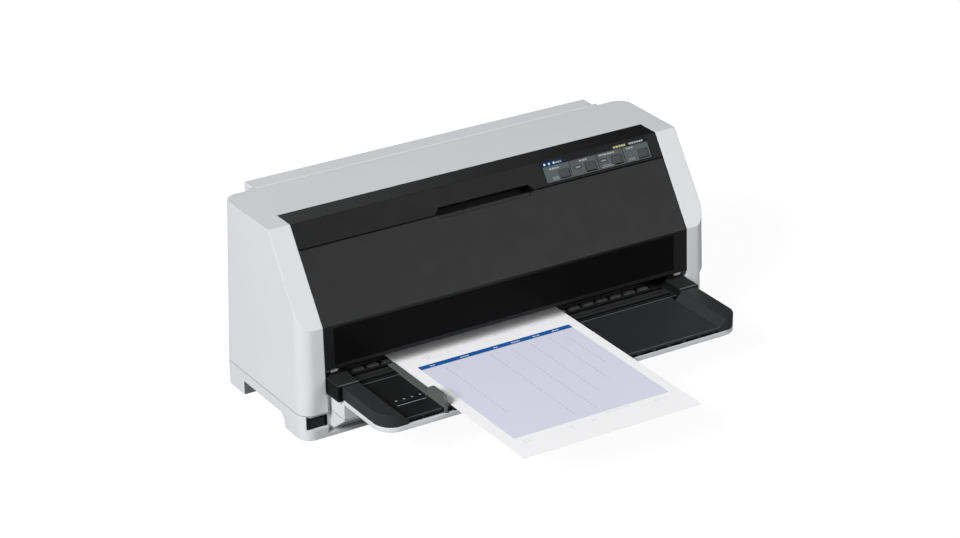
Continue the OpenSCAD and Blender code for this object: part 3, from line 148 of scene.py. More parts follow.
def finish(name, colour, rough, grain=900.0, bump=0.05, vary=0.04, metal=0.0, edge=0.0007,
           sheen=0.5, subsurface=0.0):
    """A moulded, cast or machined finish: uneven tone and gloss, fine grain and eased edges.

    edge is the radius in metres to which sharp edges are rounded for light."""
    mat, nt, bsdf = tree(name)
    for key, value in (("Metallic", metal), ("Specular IOR Level", sheen),
                       ("Subsurface Weight", subsurface)):
        bsdf.inputs[key].default_value = value
    tone = ramp(nt, noise(nt, TONE_SCALE),
                [(0.3, shade(colour, 1 - vary)), (0.7, shade(colour, 1 + vary))])
    nt.links.new(tone, bsdf.inputs["Base Color"])
    gloss = add(nt, "ShaderNodeMapRange",
                {"To Min": rough - GLOSS_SPREAD, "To Max": rough + GLOSS_SPREAD})
    nt.links.new(noise(nt, GLOSS_SCALE), gloss.inputs["Value"])
    nt.links.new(gloss.outputs["Result"], bsdf.inputs["Roughness"])
    rub = add(nt, "ShaderNodeBump", {"Strength": bump, "Distance": GRAIN_HEIGHT})
    nt.links.new(noise(nt, grain, detail=2.0), rub.inputs["Height"])
    if edge:
        soft = add(nt, "ShaderNodeBevel", {"Radius": edge}, samples=6)
        nt.links.new(soft.outputs["Normal"], rub.inputs["Normal"])
    nt.links.new(rub.outputs["Normal"], bsdf.inputs["Normal"])
    return mat


def ink(name, colour, rough=0.6, vary=0.05):
    """A printed or drawn layer, nearly without gloss."""
    return finish(name, colour, rough, grain=1200.0, bump=0.02, vary=vary, edge=0.0, sheen=0.06)


def along(mat, axis):
    """The place along an axis, in metres, as a socket."""
    nt = mat.node_tree
    split = add(nt, "ShaderNodeSeparateXYZ")
    nt.links.new(nt.nodes["Place"].outputs["Object"], split.inputs[0])
    return split.outputs[axis]


def scale_tone(mat, value, span):
    """Multiplies a finish's colour by a factor, which a Map Range node makes from a value."""
    nt = mat.node_tree
    colour = nt.nodes["Principled BSDF"].inputs["Base Color"]
    tone = colour.links[0].from_socket
    factor = add(nt, "ShaderNodeMapRange", span)
    nt.links.new(value, factor.inputs["Value"])
    mix = add(nt, "ShaderNodeVectorMath", operation="SCALE")
    nt.links.new(tone, mix.inputs[0])
    nt.links.new(factor.outputs["Result"], mix.inputs["Scale"])
    nt.links.new(mix.outputs["Vector"], colour)


def fade(mat, x0, x1, k0, k1):
    """Changes a finish's tone from side to side: factor k0 at x0 and k1 at x1, in metres."""
    scale_tone(mat, along(mat, "X"), {"From Min": x0, "From Max": x1, "To Min": k0, "To Max": k1})


def band(mat, axis, low, high, k_in, k_out, mirror=False):
    """Changes a finish's tone by k_in between two places along an axis, in metres, and by k_out
    elsewhere. mirror counts both places to both sides."""
    nt = mat.node_tree
    place = along(mat, axis)
    if mirror:
        size = add(nt, "ShaderNodeMath", operation="ABSOLUTE")
        nt.links.new(place, size.inputs[0])
        place = size.outputs[0]
    near = add(nt, "ShaderNodeMath", {1: (low + high) / 2, 2: (high - low) / 2},
               operation="COMPARE")
    nt.links.new(place, near.inputs[0])
    scale_tone(mat, near.outputs[0], {"To Min": k_out, "To Max": k_in})


# Shell and dark front
SHELL = finish("shell_grey", (0.655, 0.664, 0.688), 0.5, bump=0.06, vary=0.012, edge=0.0012)
# painted shade: a dark copy of the shell grey for the forward faces at the back of the base's
# arch
SHELL_SHADE = finish("shell_shade", (0.19, 0.192, 0.20), 0.5, bump=0.06, vary=0.02, edge=0.0012)
BEZEL = finish("bezel_black", (0.0052, 0.0055, 0.0055), 0.36, bump=0.10, vary=0.05,
               edge=0.0008, sheen=0.13)
COVER = finish("cover_black", (0.0088, 0.0091, 0.0091), 0.42, bump=0.08, vary=0.05,
               edge=0.0009, sheen=0.23)
# painted reflection: a lighter copy of the bezel's black for the strip's top
BEZEL_TOP_REFLECTION = finish("bezel_top_reflection", (0.034, 0.035, 0.035), 0.5, bump=0.10, vary=0.05,
                   edge=0.0008, sheen=0.22)
PIN = finish("pin_pale", (0.42, 0.43, 0.43), 0.4, bump=0.05, edge=0.0003)
WINDOW = finish("window_smoked", (0.0042, 0.0042, 0.0042), 0.3, bump=0.01, vary=0.1,
                edge=0.0003, sheen=0.04)

# Tray
TRAY = finish("tray_black", (0.0265, 0.0275, 0.0285), 0.46, bump=0.10, vary=0.06,
              edge=0.0008, sheen=0.25)
MOUNT = finish("mount_black", (0.020, 0.0205, 0.0205), 0.55, bump=0.10, vary=0.06,
               edge=0.0009, sheen=0.06)
# painted highlight: a lighter grey laid along the tray's and the mounts' edges
EDGE_HIGHLIGHT = finish("edge_highlight", (0.10, 0.105, 0.11), 0.45, bump=0.05, vary=0.06, edge=0.0006, sheen=0.3)
# painted shade: a darker copy of the tray's black for its floor
TRAY_FLOOR_SHADE = finish("tray_floor_shade", (0.016, 0.0165, 0.0175), 0.5, bump=0.10, vary=0.06,
                    edge=0.0006, sheen=0.2)
# painted shade: a darker copy of the mounts' black for their faces that are not on top
MOUNT_SIDE_SHADE = finish("mount_side_shade", (0.0075, 0.008, 0.008), 0.55, bump=0.10, vary=0.06,
                    edge=0.0009, sheen=0.06)
# painted shade: a flat black for the hand recess and for the chin's top under the tray
SHADE_BLACK = finish("shade_black", (0.006, 0.006, 0.006), 0.6, bump=0.05, vary=0.1, edge=0.0,
               sheen=0.1)
BED = finish("bed_black", (0.025, 0.026, 0.027), 0.45, bump=0.08, vary=0.08, edge=0.0004,
             sheen=0.3)
GUIDE = finish("guide_grey", (0.105, 0.115, 0.11), 0.4, bump=0.05, vary=0.05, edge=0.0006,
               sheen=0.4)

# Panel and switch
PANEL = finish("panel_grey", (0.055, 0.063, 0.065), 0.38, bump=0.04, vary=0.05, edge=0.0,
               sheen=0.3)
KEY = finish("key_grey", (0.032, 0.035, 0.036), 0.4, bump=0.05, vary=0.05, edge=0.0006,
             sheen=0.3)
SWITCH = finish("switch_black", (0.008, 0.008, 0.008), 0.35, bump=0.03, vary=0.1,
                edge=0.0004, sheen=0.25)
ROCKER = finish("rocker_black", (0.014, 0.0155, 0.017), 0.32, bump=0.03, vary=0.1,
                edge=0.0006, sheen=0.3)
LAMP = finish("lamp_blue", (0.35, 0.55, 0.85), 0.25, bump=0.02, vary=0.1, edge=0.0)

# Mechanism
RUBBER = finish("rubber_black", (0.016, 0.016, 0.016), 0.72, bump=0.25, vary=0.1,
                edge=0.0004, sheen=0.3)
ROLLER = finish("roller_grey", (0.12, 0.12, 0.125), 0.5, bump=0.12, vary=0.08, edge=0.0003)
STEEL_SHAFT = finish("shaft_steel", (0.60, 0.61, 0.63), 0.25, grain=300, bump=0.02, metal=1.0,
                     edge=0.0002)
STEEL_PLATE = finish("plate_steel", (0.52, 0.53, 0.55), 0.4, grain=500, bump=0.05, metal=1.0,
                     edge=0.0003)
GEAR = finish("gear_white", (0.74, 0.74, 0.68), 0.45, bump=0.04, vary=0.03, edge=0.0002,
              subsurface=0.1)
MOTOR = finish("motor_can", (0.07, 0.075, 0.08), 0.4, bump=0.05, metal=0.6, edge=0.0004)
CARRIAGE = finish("carriage_black", (0.03, 0.03, 0.032), 0.48, bump=0.1, edge=0.0005)
HEAD = finish("head_metal", (0.16, 0.165, 0.175), 0.45, bump=0.12, metal=0.7, edge=0.0003)
RIBBON_CASE = finish("ribbon_case", (0.02, 0.02, 0.022), 0.42, bump=0.08, edge=0.0006)
RIBBON = finish("ribbon_ink", (0.008, 0.008, 0.012), 0.8, grain=2500, bump=0.4, edge=0.0)
BLUE = finish("lever_blue", (0.03, 0.11, 0.38), 0.42, bump=0.06, edge=0.0005)
BELT = finish("belt_rubber", (0.015, 0.015, 0.015), 0.65, bump=0.2, edge=0.0)
BOARD = finish("board_green", (0.012, 0.085, 0.035), 0.4, grain=400, bump=0.1, vary=0.12,
               edge=0.0002)
PORT = finish("port_metal", (0.55, 0.55, 0.56), 0.3, bump=0.04, metal=1.0, edge=0.0003)
INLET = finish("inlet_black", (0.014, 0.014, 0.015), 0.4, bump=0.05, edge=0.0004)
SCREW = finish("screw_zinc", (0.45, 0.45, 0.46), 0.35, bump=0.05, metal=1.0, edge=0.0002)

# Paper and inks
PAPER = finish("paper_white", (0.95, 0.95, 0.96), 0.85, grain=1500, bump=0.05, vary=0.006,
               edge=0.0, sheen=0.2)
INK_BLUE = ink("ink_blue", (0.010, 0.105, 0.36), vary=0.06)
INK_LILAC = ink("ink_lilac", (0.70, 0.715, 0.835), rough=0.8, vary=0.012)
INK_GREY = ink("ink_grey", (0.30, 0.31, 0.36), rough=0.8)
INK_FAINT = ink("ink_faint", (0.62, 0.63, 0.68), rough=0.8)
INK_WHITE = ink("ink_white", (0.78, 0.80, 0.86), rough=0.8)
# black for print, and for painted shade in seams, grooves, slots and pits
BLACK_INK_AND_SHADE = ink("black_ink_and_shade", (0.0035, 0.0035, 0.0035))
INK_BAND = ink("ink_band", (0.010, 0.010, 0.012), rough=0.35)
INK_NAVY = ink("ink_navy", (0.007, 0.020, 0.065), rough=0.35)
INK_TEAL = ink("ink_teal", (0.085, 0.105, 0.108), rough=0.4)
# dark lines: print for the dividers and ovals, painted shadow beside the keys
EDGE_INK_AND_SHADOW = ink("edge_ink_and_shadow", (0.005, 0.0055, 0.006), rough=0.5)
INK_PALE = ink("ink_pale", (0.34, 0.36, 0.36), rough=0.5)
INK_YELLOW = ink("ink_yellow", (0.45, 0.45, 0.22), rough=0.5)

# painted shade: the tray's floor is darker towards the left
fade(TRAY_FLOOR_SHADE, -0.19, 0.19, 0.65, 1.6)
# painted reflection on the strip's top, brighter at the left and dimmer at the right
fade(BEZEL_TOP_REFLECTION, -0.20, 0.19, 1.0, 0.17)
band(SHELL, "Z", 0.02765, 0.0284, 0.42, 1.0)                # painted shade: darker along the seam round the shell
band(PIN, "X", 0.2072, 0.2152, 1.0, 0.03, mirror=True)      # where each cover pin shows


# ============================================================ pieces
def new_object(name, mesh, node, *mats):
    """A piece that rides with a CAD node's body, with the finishes it is given."""
    ob = bpy.data.objects.new(name, mesh)
    bpy.context.scene.collection.objects.link(ob)
    for mat in mats:
        mesh.materials.append(mat)
    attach(ob, BODY[node])
    return ob


MERGE = 2e-6                         # metres, under which two corners are one
FLAT = math.radians(0.4)             # under which two faces are one
SHARP = math.radians(28.0)           # over which an edge isn't smooth


def dress(node, mat, others=()):
    """A copy of a node with its flat faces joined and its round faces smooth.

    others are pairs of a finish and a test of a face's middle and normal. The first test that
    holds gives the face its finish, and mat is for the rest."""
    mesh = bpy.data.objects[node].data.copy()
    mesh.materials.clear()
    bm = bmesh.new()
    bm.from_mesh(mesh)
    bmesh.ops.remove_doubles(bm, verts=bm.verts, dist=MERGE)
    bmesh.ops.dissolve_limit(bm, angle_limit=FLAT, verts=bm.verts, edges=bm.edges)
    bm.normal_update()
    for face in bm.faces:
        face.smooth = True
        middle = face.calc_center_median() / MM
        middle.y -= BEND_Y
        face.material_index = next((k for k, (_, where) in enumerate(others, 1)
                                    if where(middle, face.normal)), 0)
    for edge in bm.edges:
        edge.smooth = len(edge.link_faces) == 2 and edge.calc_face_angle(0.0) <= SHARP
    bm.to_mesh(mesh)
    bm.free()
    ob = new_object(node + "_dressed", mesh, node, mat, *[other for other, _ in others])
    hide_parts(node)


def flat_pieces(name, node, mat, polygons):
    """One thin layer of flat polygons, each a list of corners."""
    verts = [tuple(corner) for polygon in polygons for corner in polygon]
    faces, start = [], 0
    for polygon in polygons:
        faces.append(list(range(start, start + len(polygon))))
        start += len(polygon)
    mesh = bpy.data.meshes.new(name)
    mesh.from_pydata(verts, [], faces)
    mesh.update()
    new_object(name, mesh, node, mat)


def prisms(name, node, mat, parts):
    """Prisms in one mesh. Each part has an outline in x and y and two heights or, where a last
    True says so, an outline in x and z and two depths."""
    bm = bmesh.new()
    for outline, h0, h1, *upright in parts:
        low, high = ([bm.verts.new(at(a, h, b) if upright else at(a, b, h)) for a, b in outline]
                     for h in (h0, h1))
        bm.faces.new(low[::-1])
        bm.faces.new(high)
        for i in range(len(low)):
            j = (i + 1) % len(low)
            bm.faces.new([low[i], low[j], high[j], high[i]])
    bmesh.ops.recalc_face_normals(bm, faces=bm.faces)
    mesh = bpy.data.meshes.new(name)
    bm.to_mesh(mesh)
    bm.free()
    return new_object(name, mesh, node, mat)


def oblong(x0, x1, y0, y1):
    return [(x0, y0), (x1, y0), (x1, y1), (x0, y1)]


def level_quad(x0, x1, y0, y1, z):
    return [at(x, y, z) for x, y in oblong(x0, x1, y0, y1)]


def upright_quad(x0, x1, y, z0, z1):
    return [at(x, y, z) for x, z in oblong(x0, x1, z0, z1)]


def slant_quad(x0, x1, s0, s1, lift):
    return [on_slant(x, s, lift) for x, s in oblong(x0, x1, s0, s1)]


def mirrored(x0, x1, side):
    """A stretch of x on the right (side 1) or on the left (side -1), from low to high."""
    return sorted((side * x0, side * x1))


def words(x, y, lengths, height, gap=1.0):
    """A row of short bars that stands for small print: low and high x, low and high y."""
    bars = []
    for length in lengths:
        bars.append((x, x + length, y, y + height))
        x += length + gap
    return bars


# ============================================================ CAD nodes
DRESS = {
    "rubber_feet": RUBBER, "key_panel": PANEL, "status_lamps": LAMP, "key_1": KEY, "key_2": KEY,
    "key_3": KEY, "key_4": KEY, "cover_window": WINDOW, "rear_cover": SHELL,
    "tray_underside": SHELL, "edge_guide": GUIDE, "side_frame_left": STEEL_PLATE,
    "side_frame_right": STEEL_PLATE, "chassis_pan": STEEL_PLATE, "paper_bed": BED,
    "platen_roller": RUBBER, "bed_rollers": ROLLER, "platen_shaft": STEEL_SHAFT,
    "platen_gear": GEAR, "paper_knob": CARRIAGE, "front_feed_shaft": STEEL_SHAFT,
    "front_feed_rollers": RUBBER, "front_feed_gear": GEAR, "front_pinch_shaft": STEEL_SHAFT,
    "front_pinch_rollers": RUBBER, "rear_feed_shaft": STEEL_SHAFT, "rear_feed_rollers": RUBBER,
    "rear_feed_gear": GEAR, "rear_pinch_shaft": STEEL_SHAFT, "rear_pinch_rollers": RUBBER,
    "front_idler_gear": GEAR, "rear_idler_gear": GEAR, "feed_motor": MOTOR, "feed_pinion": GEAR,
    "guide_rod": STEEL_SHAFT, "carriage_rail": STEEL_PLATE, "print_carriage": CARRIAGE,
    "print_head": HEAD, "ribbon_cartridge": RIBBON_CASE, "ribbon_knob": BLUE,
    "carriage_belt": BELT, "drive_pulley": GEAR, "idler_pulley": GEAR, "carriage_motor": MOTOR,
    "gap_lever": BLUE, "main_board": BOARD, "power_supply": BOARD, "mains_inlet": INLET,
    "rear_ports": PORT, "case_screws": SCREW,
}
THIN = {"paper_sheet": PAPER, "ribbon_strip": RIBBON}     # kept as they are, with a finish

# Faces that get another finish than the rest of their node are told by their middle p and
# their normal n
FLAT_UP = 0.9                      # n.z from which a face counts as flat
CHIN_TOP = 48.0
CHIN_BACK = 4.0
GRIP_X = (-64.5, 60.5)             # the hand recess
GRIP_Z, GRIP_DEPTH = 200.0, -1.5   # it is lower and deeper than this
ARCH_BACK_Y, ARCH_TOP = 40.0, 20.0
PIN_Y, PIN_Z = pivot("cover_pivot")[1:]
PIN_X, PIN_R = 203.5, 3.0          # a pin's inner end and its radius with some room
WINDOW_SILL = 78.0
RIM_HEIGHT = 57.0                  # the tray's floor is lower, its side blocks are higher


def in_grip(p, n):
    return GRIP_X[0] < p.x < GRIP_X[1] and p.z < GRIP_Z and out_of_slant(p) < GRIP_DEPTH


def on_strip_top(p, n):
    return n.z > 0.95


# faces that take the painted shade at the back of the base's arch
def at_arch_back(p, n):
    return n.y < -0.6 and p.y > ARCH_BACK_Y and p.z < ARCH_TOP


def on_chin(p, n):
    return n.z > FLAT_UP and abs(p.z - CHIN_TOP) < 1.5 and p.y < CHIN_BACK


def on_pin(p, n):
    return abs(p.x) > PIN_X and math.hypot(p.y - PIN_Y, p.z - PIN_Z) < PIN_R


def under_window(p, n):
    return n.y < -0.9 and p.z < WINDOW_SILL


def on_tray_floor(p, n):
    return n.z > FLAT_UP and p.z < RIM_HEIGHT


def not_on_top(p, n):
    return n.z < 0.5


def dress_nodes():
    for node, mat in DRESS.items():
        dress(node, mat)
    # Some of these finishes paint light: painted shade in the hand recess, on the chin's top, at
    # the back of the arch, on the tray's floor and on the mounts' sides, and a painted reflection
    # on the strip's top.
    dress("control_bezel", BEZEL, [(SHADE_BLACK, in_grip), (BEZEL_TOP_REFLECTION, on_strip_top)])
    dress("base_case", SHELL, [(SHELL_SHADE, at_arch_back)])
    dress("upper_housing", SHELL, [(SHADE_BLACK, on_chin)])
    dress("front_cover", COVER, [(PIN, on_pin), (WINDOW, under_window)])
    dress("front_tray", TRAY, [(TRAY_FLOOR_SHADE, on_tray_floor)])
    dress("tray_mounts", MOUNT, [(MOUNT_SIDE_SHADE, not_on_top)])
    for node, mat in THIN.items():
        slots = bpy.data.objects[node].data.materials
        slots.clear()
        slots.append(mat)


# ============================================================ the mains switch
NOTCH_X, NOTCH_Z = (-244.65, -220.85), (12.4, 27.95)      # the opening in the base
SWITCH_X, SWITCH_Z = (-243.4, -221.0), (12.4, 25.4)       # the switch in it
SWITCH_GAP = 0.1
CORNER_X, CORNER_Y, CORNER_R = -235.0, 12.5, 15.0         # the shell's upright corner
CORNER_STEPS = 8
FILLER_BACK = 8.0
WALL_FRONT = CORNER_Y - CORNER_R + 1.4                    # the housing's rim, behind the shell
WALL_BACK, BLOCK_END = 8.5, 17.5                          # the housing's closed block
SIDE_WALL, END_WALL = 1.0, 1.2
ROCKER_END_GAP = 0.3
ROCKER_TILT = math.radians(-7.0)
ROCKER_OUTLINE = ((-8.9, -4.6), (0.0, -3.6), (8.9, -4.6), (8.2, 3.2), (-8.2, 3.2))


def along_shell(x0, x1):
    """A plan outline from the shell's outer face, round its corner, to the filler's back."""
    face = []
    for i in range(CORNER_STEPS + 1):
        x = x0 + (x1 - x0) * i / CORNER_STEPS
        run = min(0.0, x - CORNER_X)
        face.append((x, CORNER_Y - math.sqrt(CORNER_R ** 2 - run ** 2)))
    return face + [(x1, FILLER_BACK), (x0, FILLER_BACK)]


def mains_switch():
    """The switch's housing and rocker, and the shell round them."""
    left = SWITCH_X[0] - SWITCH_GAP
    prisms("switch_frame", "base_case", SHELL, [
        (along_shell(NOTCH_X[0], left), *NOTCH_Z),
        (along_shell(left, NOTCH_X[1]), SWITCH_Z[1] + SWITCH_GAP, NOTCH_Z[1])])
    inner_x = (SWITCH_X[0] + SIDE_WALL, SWITCH_X[1] - SIDE_WALL)
    walls = [(oblong(*SWITCH_X, WALL_BACK, BLOCK_END), *SWITCH_Z)]
    for x in ((SWITCH_X[0], inner_x[0]), (inner_x[1], SWITCH_X[1])):
        walls.append((oblong(*x, WALL_FRONT, WALL_BACK), *SWITCH_Z))
    for z in ((SWITCH_Z[0], SWITCH_Z[0] + END_WALL), (SWITCH_Z[1] - END_WALL, SWITCH_Z[1])):
        walls.append((oblong(*inner_x, WALL_FRONT, WALL_BACK), *z))
    housing = prisms("switch_housing", "switch_body", SWITCH, walls)
    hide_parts("switch_body")
    pivot_x, pivot_y, _ = pivot("rocker_tilt")
    c, s = math.cos(ROCKER_TILT), math.sin(ROCKER_TILT)
    outline = [(pivot_x + x * c - y * s, pivot_y + x * s + y * c) for x, y in ROCKER_OUTLINE]
    ends = END_WALL + ROCKER_END_GAP
    rocker = prisms("switch_rocker", "power_rocker", ROCKER,
                    [(outline, SWITCH_Z[0] + ends, SWITCH_Z[1] - ends)])
    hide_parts("power_rocker")


# ============================================================ the printed form
SHEET_TOP = box("paper_sheet")[1][2]
FORM_X = (-124.5, 59.5)
STRIPE_Y = (-26.0, -18.5)
TABLE_Y = (-198.0, STRIPE_Y[0])
COLUMNS = ((-100.0, 18), (-46.0, 24), (-21.0, 24), (2.0, 20), (25.5, 17), (43.0, 12))
DASH_W, DASH_LENGTH, DASH_PITCH, DASH_START = 0.36, 4.2, 6.5, 8.0
HEAD_Y, HEAD_H, HEAD_GAP = -23.4, 1.6, 0.7
HEAD_WORDS = (2.6, 1.8, 2.2, 1.4)
HEADS = ((-112.0, 2), (-76.0, 4), (-36.0, 2), (-14.0, 4), (12.0, 3), (36.0, 3))
# Small print: x, y and the lengths of its words
FOOT_H = 0.7
FOOT = ((-120.0, -206.0, (5, 3)), (-120.0, -210.0, (6, 2)), (-66.0, -207.5, (4,)),
        (-64.0, -212.0, (3,)), (-40.0, -208.0, (3, 1.5)), (36.0, -206.5, (7, 4, 3)),
        (-20.0, -201.6, (9, 6, 4, 8)))
ADDRESS_H = 0.8
ADDRESS = ((-112.0, -4.0, (7, 3)), (-106.0, -7.5, (4,)), (-20.0, 1.0, (5, 4, 6, 3)),
           (24.0, -1.0, (5, 3)), (-58.0, 2.0, (6, 4, 5)))


def on_sheet(x0, x1, y0, y1, lift=PRINT_LIFT):
    return level_quad(x0, x1, y0, y1, SHEET_TOP + lift)


def printed_form():
    """Neutral bars and rules in place of the form's words."""
    flat_pieces("form_stripe", "paper_sheet", INK_BLUE, [on_sheet(*FORM_X, *STRIPE_Y)])
    flat_pieces("form_table", "paper_sheet", INK_LILAC, [on_sheet(*FORM_X, *TABLE_Y)])
    dashes = []
    for x, count in COLUMNS:
        for k in range(count):
            y = STRIPE_Y[0] - DASH_START - DASH_PITCH * k
            dashes.append(on_sheet(x - DASH_W / 2, x + DASH_W / 2, y - DASH_LENGTH, y, LINE_LIFT))
    flat_pieces("form_columns", "paper_sheet", INK_GREY, dashes)
    flat_pieces("form_heads", "paper_sheet", INK_WHITE, [
        on_sheet(*bar, LINE_LIFT) for x, count in HEADS
        for bar in words(x, HEAD_Y, HEAD_WORDS[:count], HEAD_H, HEAD_GAP)])
    flat_pieces("form_small_print", "paper_sheet", INK_FAINT, [
        on_sheet(*bar) for rows, height in ((FOOT, FOOT_H), (ADDRESS, ADDRESS_H))
        for x, y, lengths in rows for bar in words(x, y, lengths, height)])


# ============================================================ the tray's lip and side blocks
TRAY_LOW, TRAY_HIGH = box("front_tray")
TRAY_HW, TRAY_FRONT = TRAY_HIGH[0], TRAY_LOW[1]
TRAY_R = 18.0
BLOCK_X, FLOOR_X = 197.0, 189.0        # where the side blocks end and the flat floor begins
LIP_X = -136.0                          # the lip's left end, beside the guide's slot
LIP_Y, LIP_BACK, BLOCK_BACK = -106.4, -103.9, -26.0
SIDE_SKIN = 0.7
RIM_Z = box("tray_underside")[1][2] + 0.05
FLOOR_Z = 56.5
LIP_TOP = FLOOR_Z + 0.01
BLOCK_TOP = TRAY_HIGH[2] + 0.03
ARC_STEPS = 12


def tray_rim():
    """The raised front lip, the slopes beside it and the skins of the side blocks."""
    block = [(BLOCK_X, BLOCK_BACK), (BLOCK_X, LIP_Y)]
    for i in range(ARC_STEPS + 1):
        a = math.radians(90 * i / ARC_STEPS)
        block.append((TRAY_HW - TRAY_R + (TRAY_R + SIDE_SKIN) * math.sin(a),
                      TRAY_FRONT + TRAY_R - (TRAY_R + TRAY_FRONT - LIP_Y) * math.cos(a)))
    block.append((TRAY_HW + SIDE_SKIN, BLOCK_BACK))
    slope = [(FLOOR_X, RIM_Z), (BLOCK_X, RIM_Z), (BLOCK_X, BLOCK_TOP), (FLOOR_X, LIP_TOP)]
    parts = [(oblong(LIP_X, FLOOR_X, LIP_Y, LIP_BACK), RIM_Z, LIP_TOP)]
    for side in (1, -1):
        parts.append(([(side * x, y) for x, y in block], RIM_Z, BLOCK_TOP))
        parts.append(([(side * x, z) for x, z in slope], LIP_Y, LIP_BACK, True))
    prisms("tray_rim", "front_tray", TRAY, parts)


# ============================================================ seams of the dark front
FRONT_HW = 222.2                        # half the width of the dark front
SEAM_S = 81.0                           # the seam between cover and strip, up the slant
STRIP_EDGE = (SEAM_S + 0.25, SEAM_S + 0.95)
COVER_EDGE = (SEAM_S - 0.75, SEAM_S - 0.26)
MARGIN_X = (-211.0, -204.6)
MARGIN_Z = (77.4, box("cover_window")[1][2] - 0.2)


def on_front(x0, x1, z0, z1, lift):
    """A quad on the upright part of the front cover."""
    y0, y1 = (-LEAN * (BEND_Z - z) - lift for z in (z0, z1))
    return [at(x0, y0, z0), at(x1, y0, z0), at(x1, y1, z1), at(x0, y1, z1)]


def front_seams():
    # painted shade: black lines on both sides of the seam between the strip and the cover
    flat_pieces("seam_strip", "control_bezel", BLACK_INK_AND_SHADE, [
        slant_quad(x0, x1, *STRIP_EDGE, TRIM_LIFT)
        for x0, x1 in ((-FRONT_HW, GRIP_X[0]), (GRIP_X[1], FRONT_HW))])
    flat_pieces("seam_cover", "front_cover", BLACK_INK_AND_SHADE, [
        slant_quad(-FRONT_HW, FRONT_HW, *COVER_EDGE, TRIM_LIFT)])
    flat_pieces("window_margin", "front_cover", WINDOW, [
        on_front(*MARGIN_X, *MARGIN_Z, MARK_LIFT)])


# ============================================================ slots and edges of bed and tray, with painted shade and painted highlights
BED_TOP = box("paper_bed")[1][2]
LEDGE_HW = 194
LEDGE_DARK_Y = ((-17.8, -16.8), (-15.4, -12.2), (0.2, 4.2))
REAR_EDGE_X = ((-196, -146), (60, 197))
REAR_EDGE_Y = (-19.6, -18.1)
FRONT_EDGES = ((-189, -148, -103.95, -102.9), (66, 189, -106.35, -105.2))
SLOT_Z = (51.3, 53.9)
SLOT_W, SLOT_PITCH = 15.0, 19.0
SLOTS_LEFT, SLOTS_RIGHT = (-186.0, -167.0), [165.5 - SLOT_PITCH * k for k in range(6)]
SHORT_SLOT = (183.5, 188.0)


def slots_and_edges():
    # painted shade: black bands in the bed ledge's grooves
    flat_pieces("ledge_slots", "paper_bed", BLACK_INK_AND_SHADE, [
        level_quad(-LEDGE_HW, LEDGE_HW, *y, BED_TOP + TRIM_LIFT) for y in LEDGE_DARK_Y])
    # painted highlights: pale lines along the tray's rear and front edges
    flat_pieces("tray_rear_edge", "front_tray", EDGE_HIGHLIGHT, [
        level_quad(*x, *REAR_EDGE_Y, FLOOR_Z + LINE_LIFT) for x in REAR_EDGE_X])
    flat_pieces("tray_front_edge", "front_tray", EDGE_HIGHLIGHT, [
        level_quad(*edge, FLOOR_Z + LINE_LIFT) for edge in FRONT_EDGES])
    # painted shade: black quads in the slots of the tray's lip
    slots = [(*SHORT_SLOT, LIP_Y)]
    slots += [(x, x + SLOT_W, LIP_Y) for x in SLOTS_RIGHT]
    slots += [(x, x + SLOT_W, TRAY_FRONT) for x in SLOTS_LEFT]
    flat_pieces("tray_slots", "front_tray", BLACK_INK_AND_SHADE, [
        upright_quad(x0, x1, y - MARK_LIFT, *SLOT_Z) for x0, x1, y in slots])


# ============================================================ the tray mounts' edges and pits, in painted highlight and painted shade
MOUNT_LOW, MOUNT_HIGH = box("tray_mounts")
MOUNT_FRONT, MOUNT_TOP = MOUNT_LOW[1], MOUNT_HIGH[2]
MOUNT_X = (BLOCK_X, MOUNT_HIGH[0] - 0.4)
EDGE_DEPTH, EDGE_HEIGHT = 1.2, 0.9
PIT_X = (216.3, 218.9)
PIT_Z = (52, MOUNT_TOP - 1.4)


def mount_trim():
    # painted highlight along each mount's top front edge, and painted shade in its pit
    edges, pits = [], []
    front = MOUNT_FRONT - TRIM_LIFT
    for side in (-1, 1):
        x = mirrored(*MOUNT_X, side)
        edges.append(level_quad(*x, MOUNT_FRONT, MOUNT_FRONT + EDGE_DEPTH, MOUNT_TOP + TRIM_LIFT))
        edges.append(upright_quad(*x, front, MOUNT_TOP - EDGE_HEIGHT, MOUNT_TOP))
        pits.append(upright_quad(*mirrored(*PIT_X, side), front, *PIT_Z))
    flat_pieces("mount_edges", "tray_mounts", EDGE_HIGHLIGHT, edges)
    flat_pieces("mount_pits", "tray_mounts", BLACK_INK_AND_SHADE, pits)


# ============================================================ the key panel's print
PANEL_X = (box("key_panel")[0][0], box("key_panel")[1][0])
PANEL_S = (84.2, 107.0)                 # lower and upper edge, up the slant
BAND_S = 101.4                          # lower edge of the dark band at its top
NAVY_X = 101.0                          # right end of the navy part of that band
DIVIDERS = (108.2, 142.9, 176.2)
DIVIDER_W, DIVIDER_START = 0.7, 0.4      # the dividers start a little above the lower edge
FRAME_X = (PANEL_X[0] - 0.9, PANEL_X[1] + 1.0)       # the dark line round the panel
FRAME_LOW = PANEL_S[0] - 0.9
FRAME_GAP = 0.25                        # between that line and the panel
KEYS_X = [99.3 + 33.4 * i for i in range(4)]
KEY_S, KEY_W, KEY_H = 91.0, 12.0, 9.0
SHADOW_NEAR, SHADOW_FAR = 0.4, 1.1      # a key's shadow, from the key's edge
OVALS_X, OVAL_S = (117.4, 149.6), 93.2
OVAL_W, OVAL_H, OVAL_LINE = 9.5, 4.0, 0.45
OVAL_STEPS, OVAL_POWER = 20, 0.55
WORD_GAP = 0.6
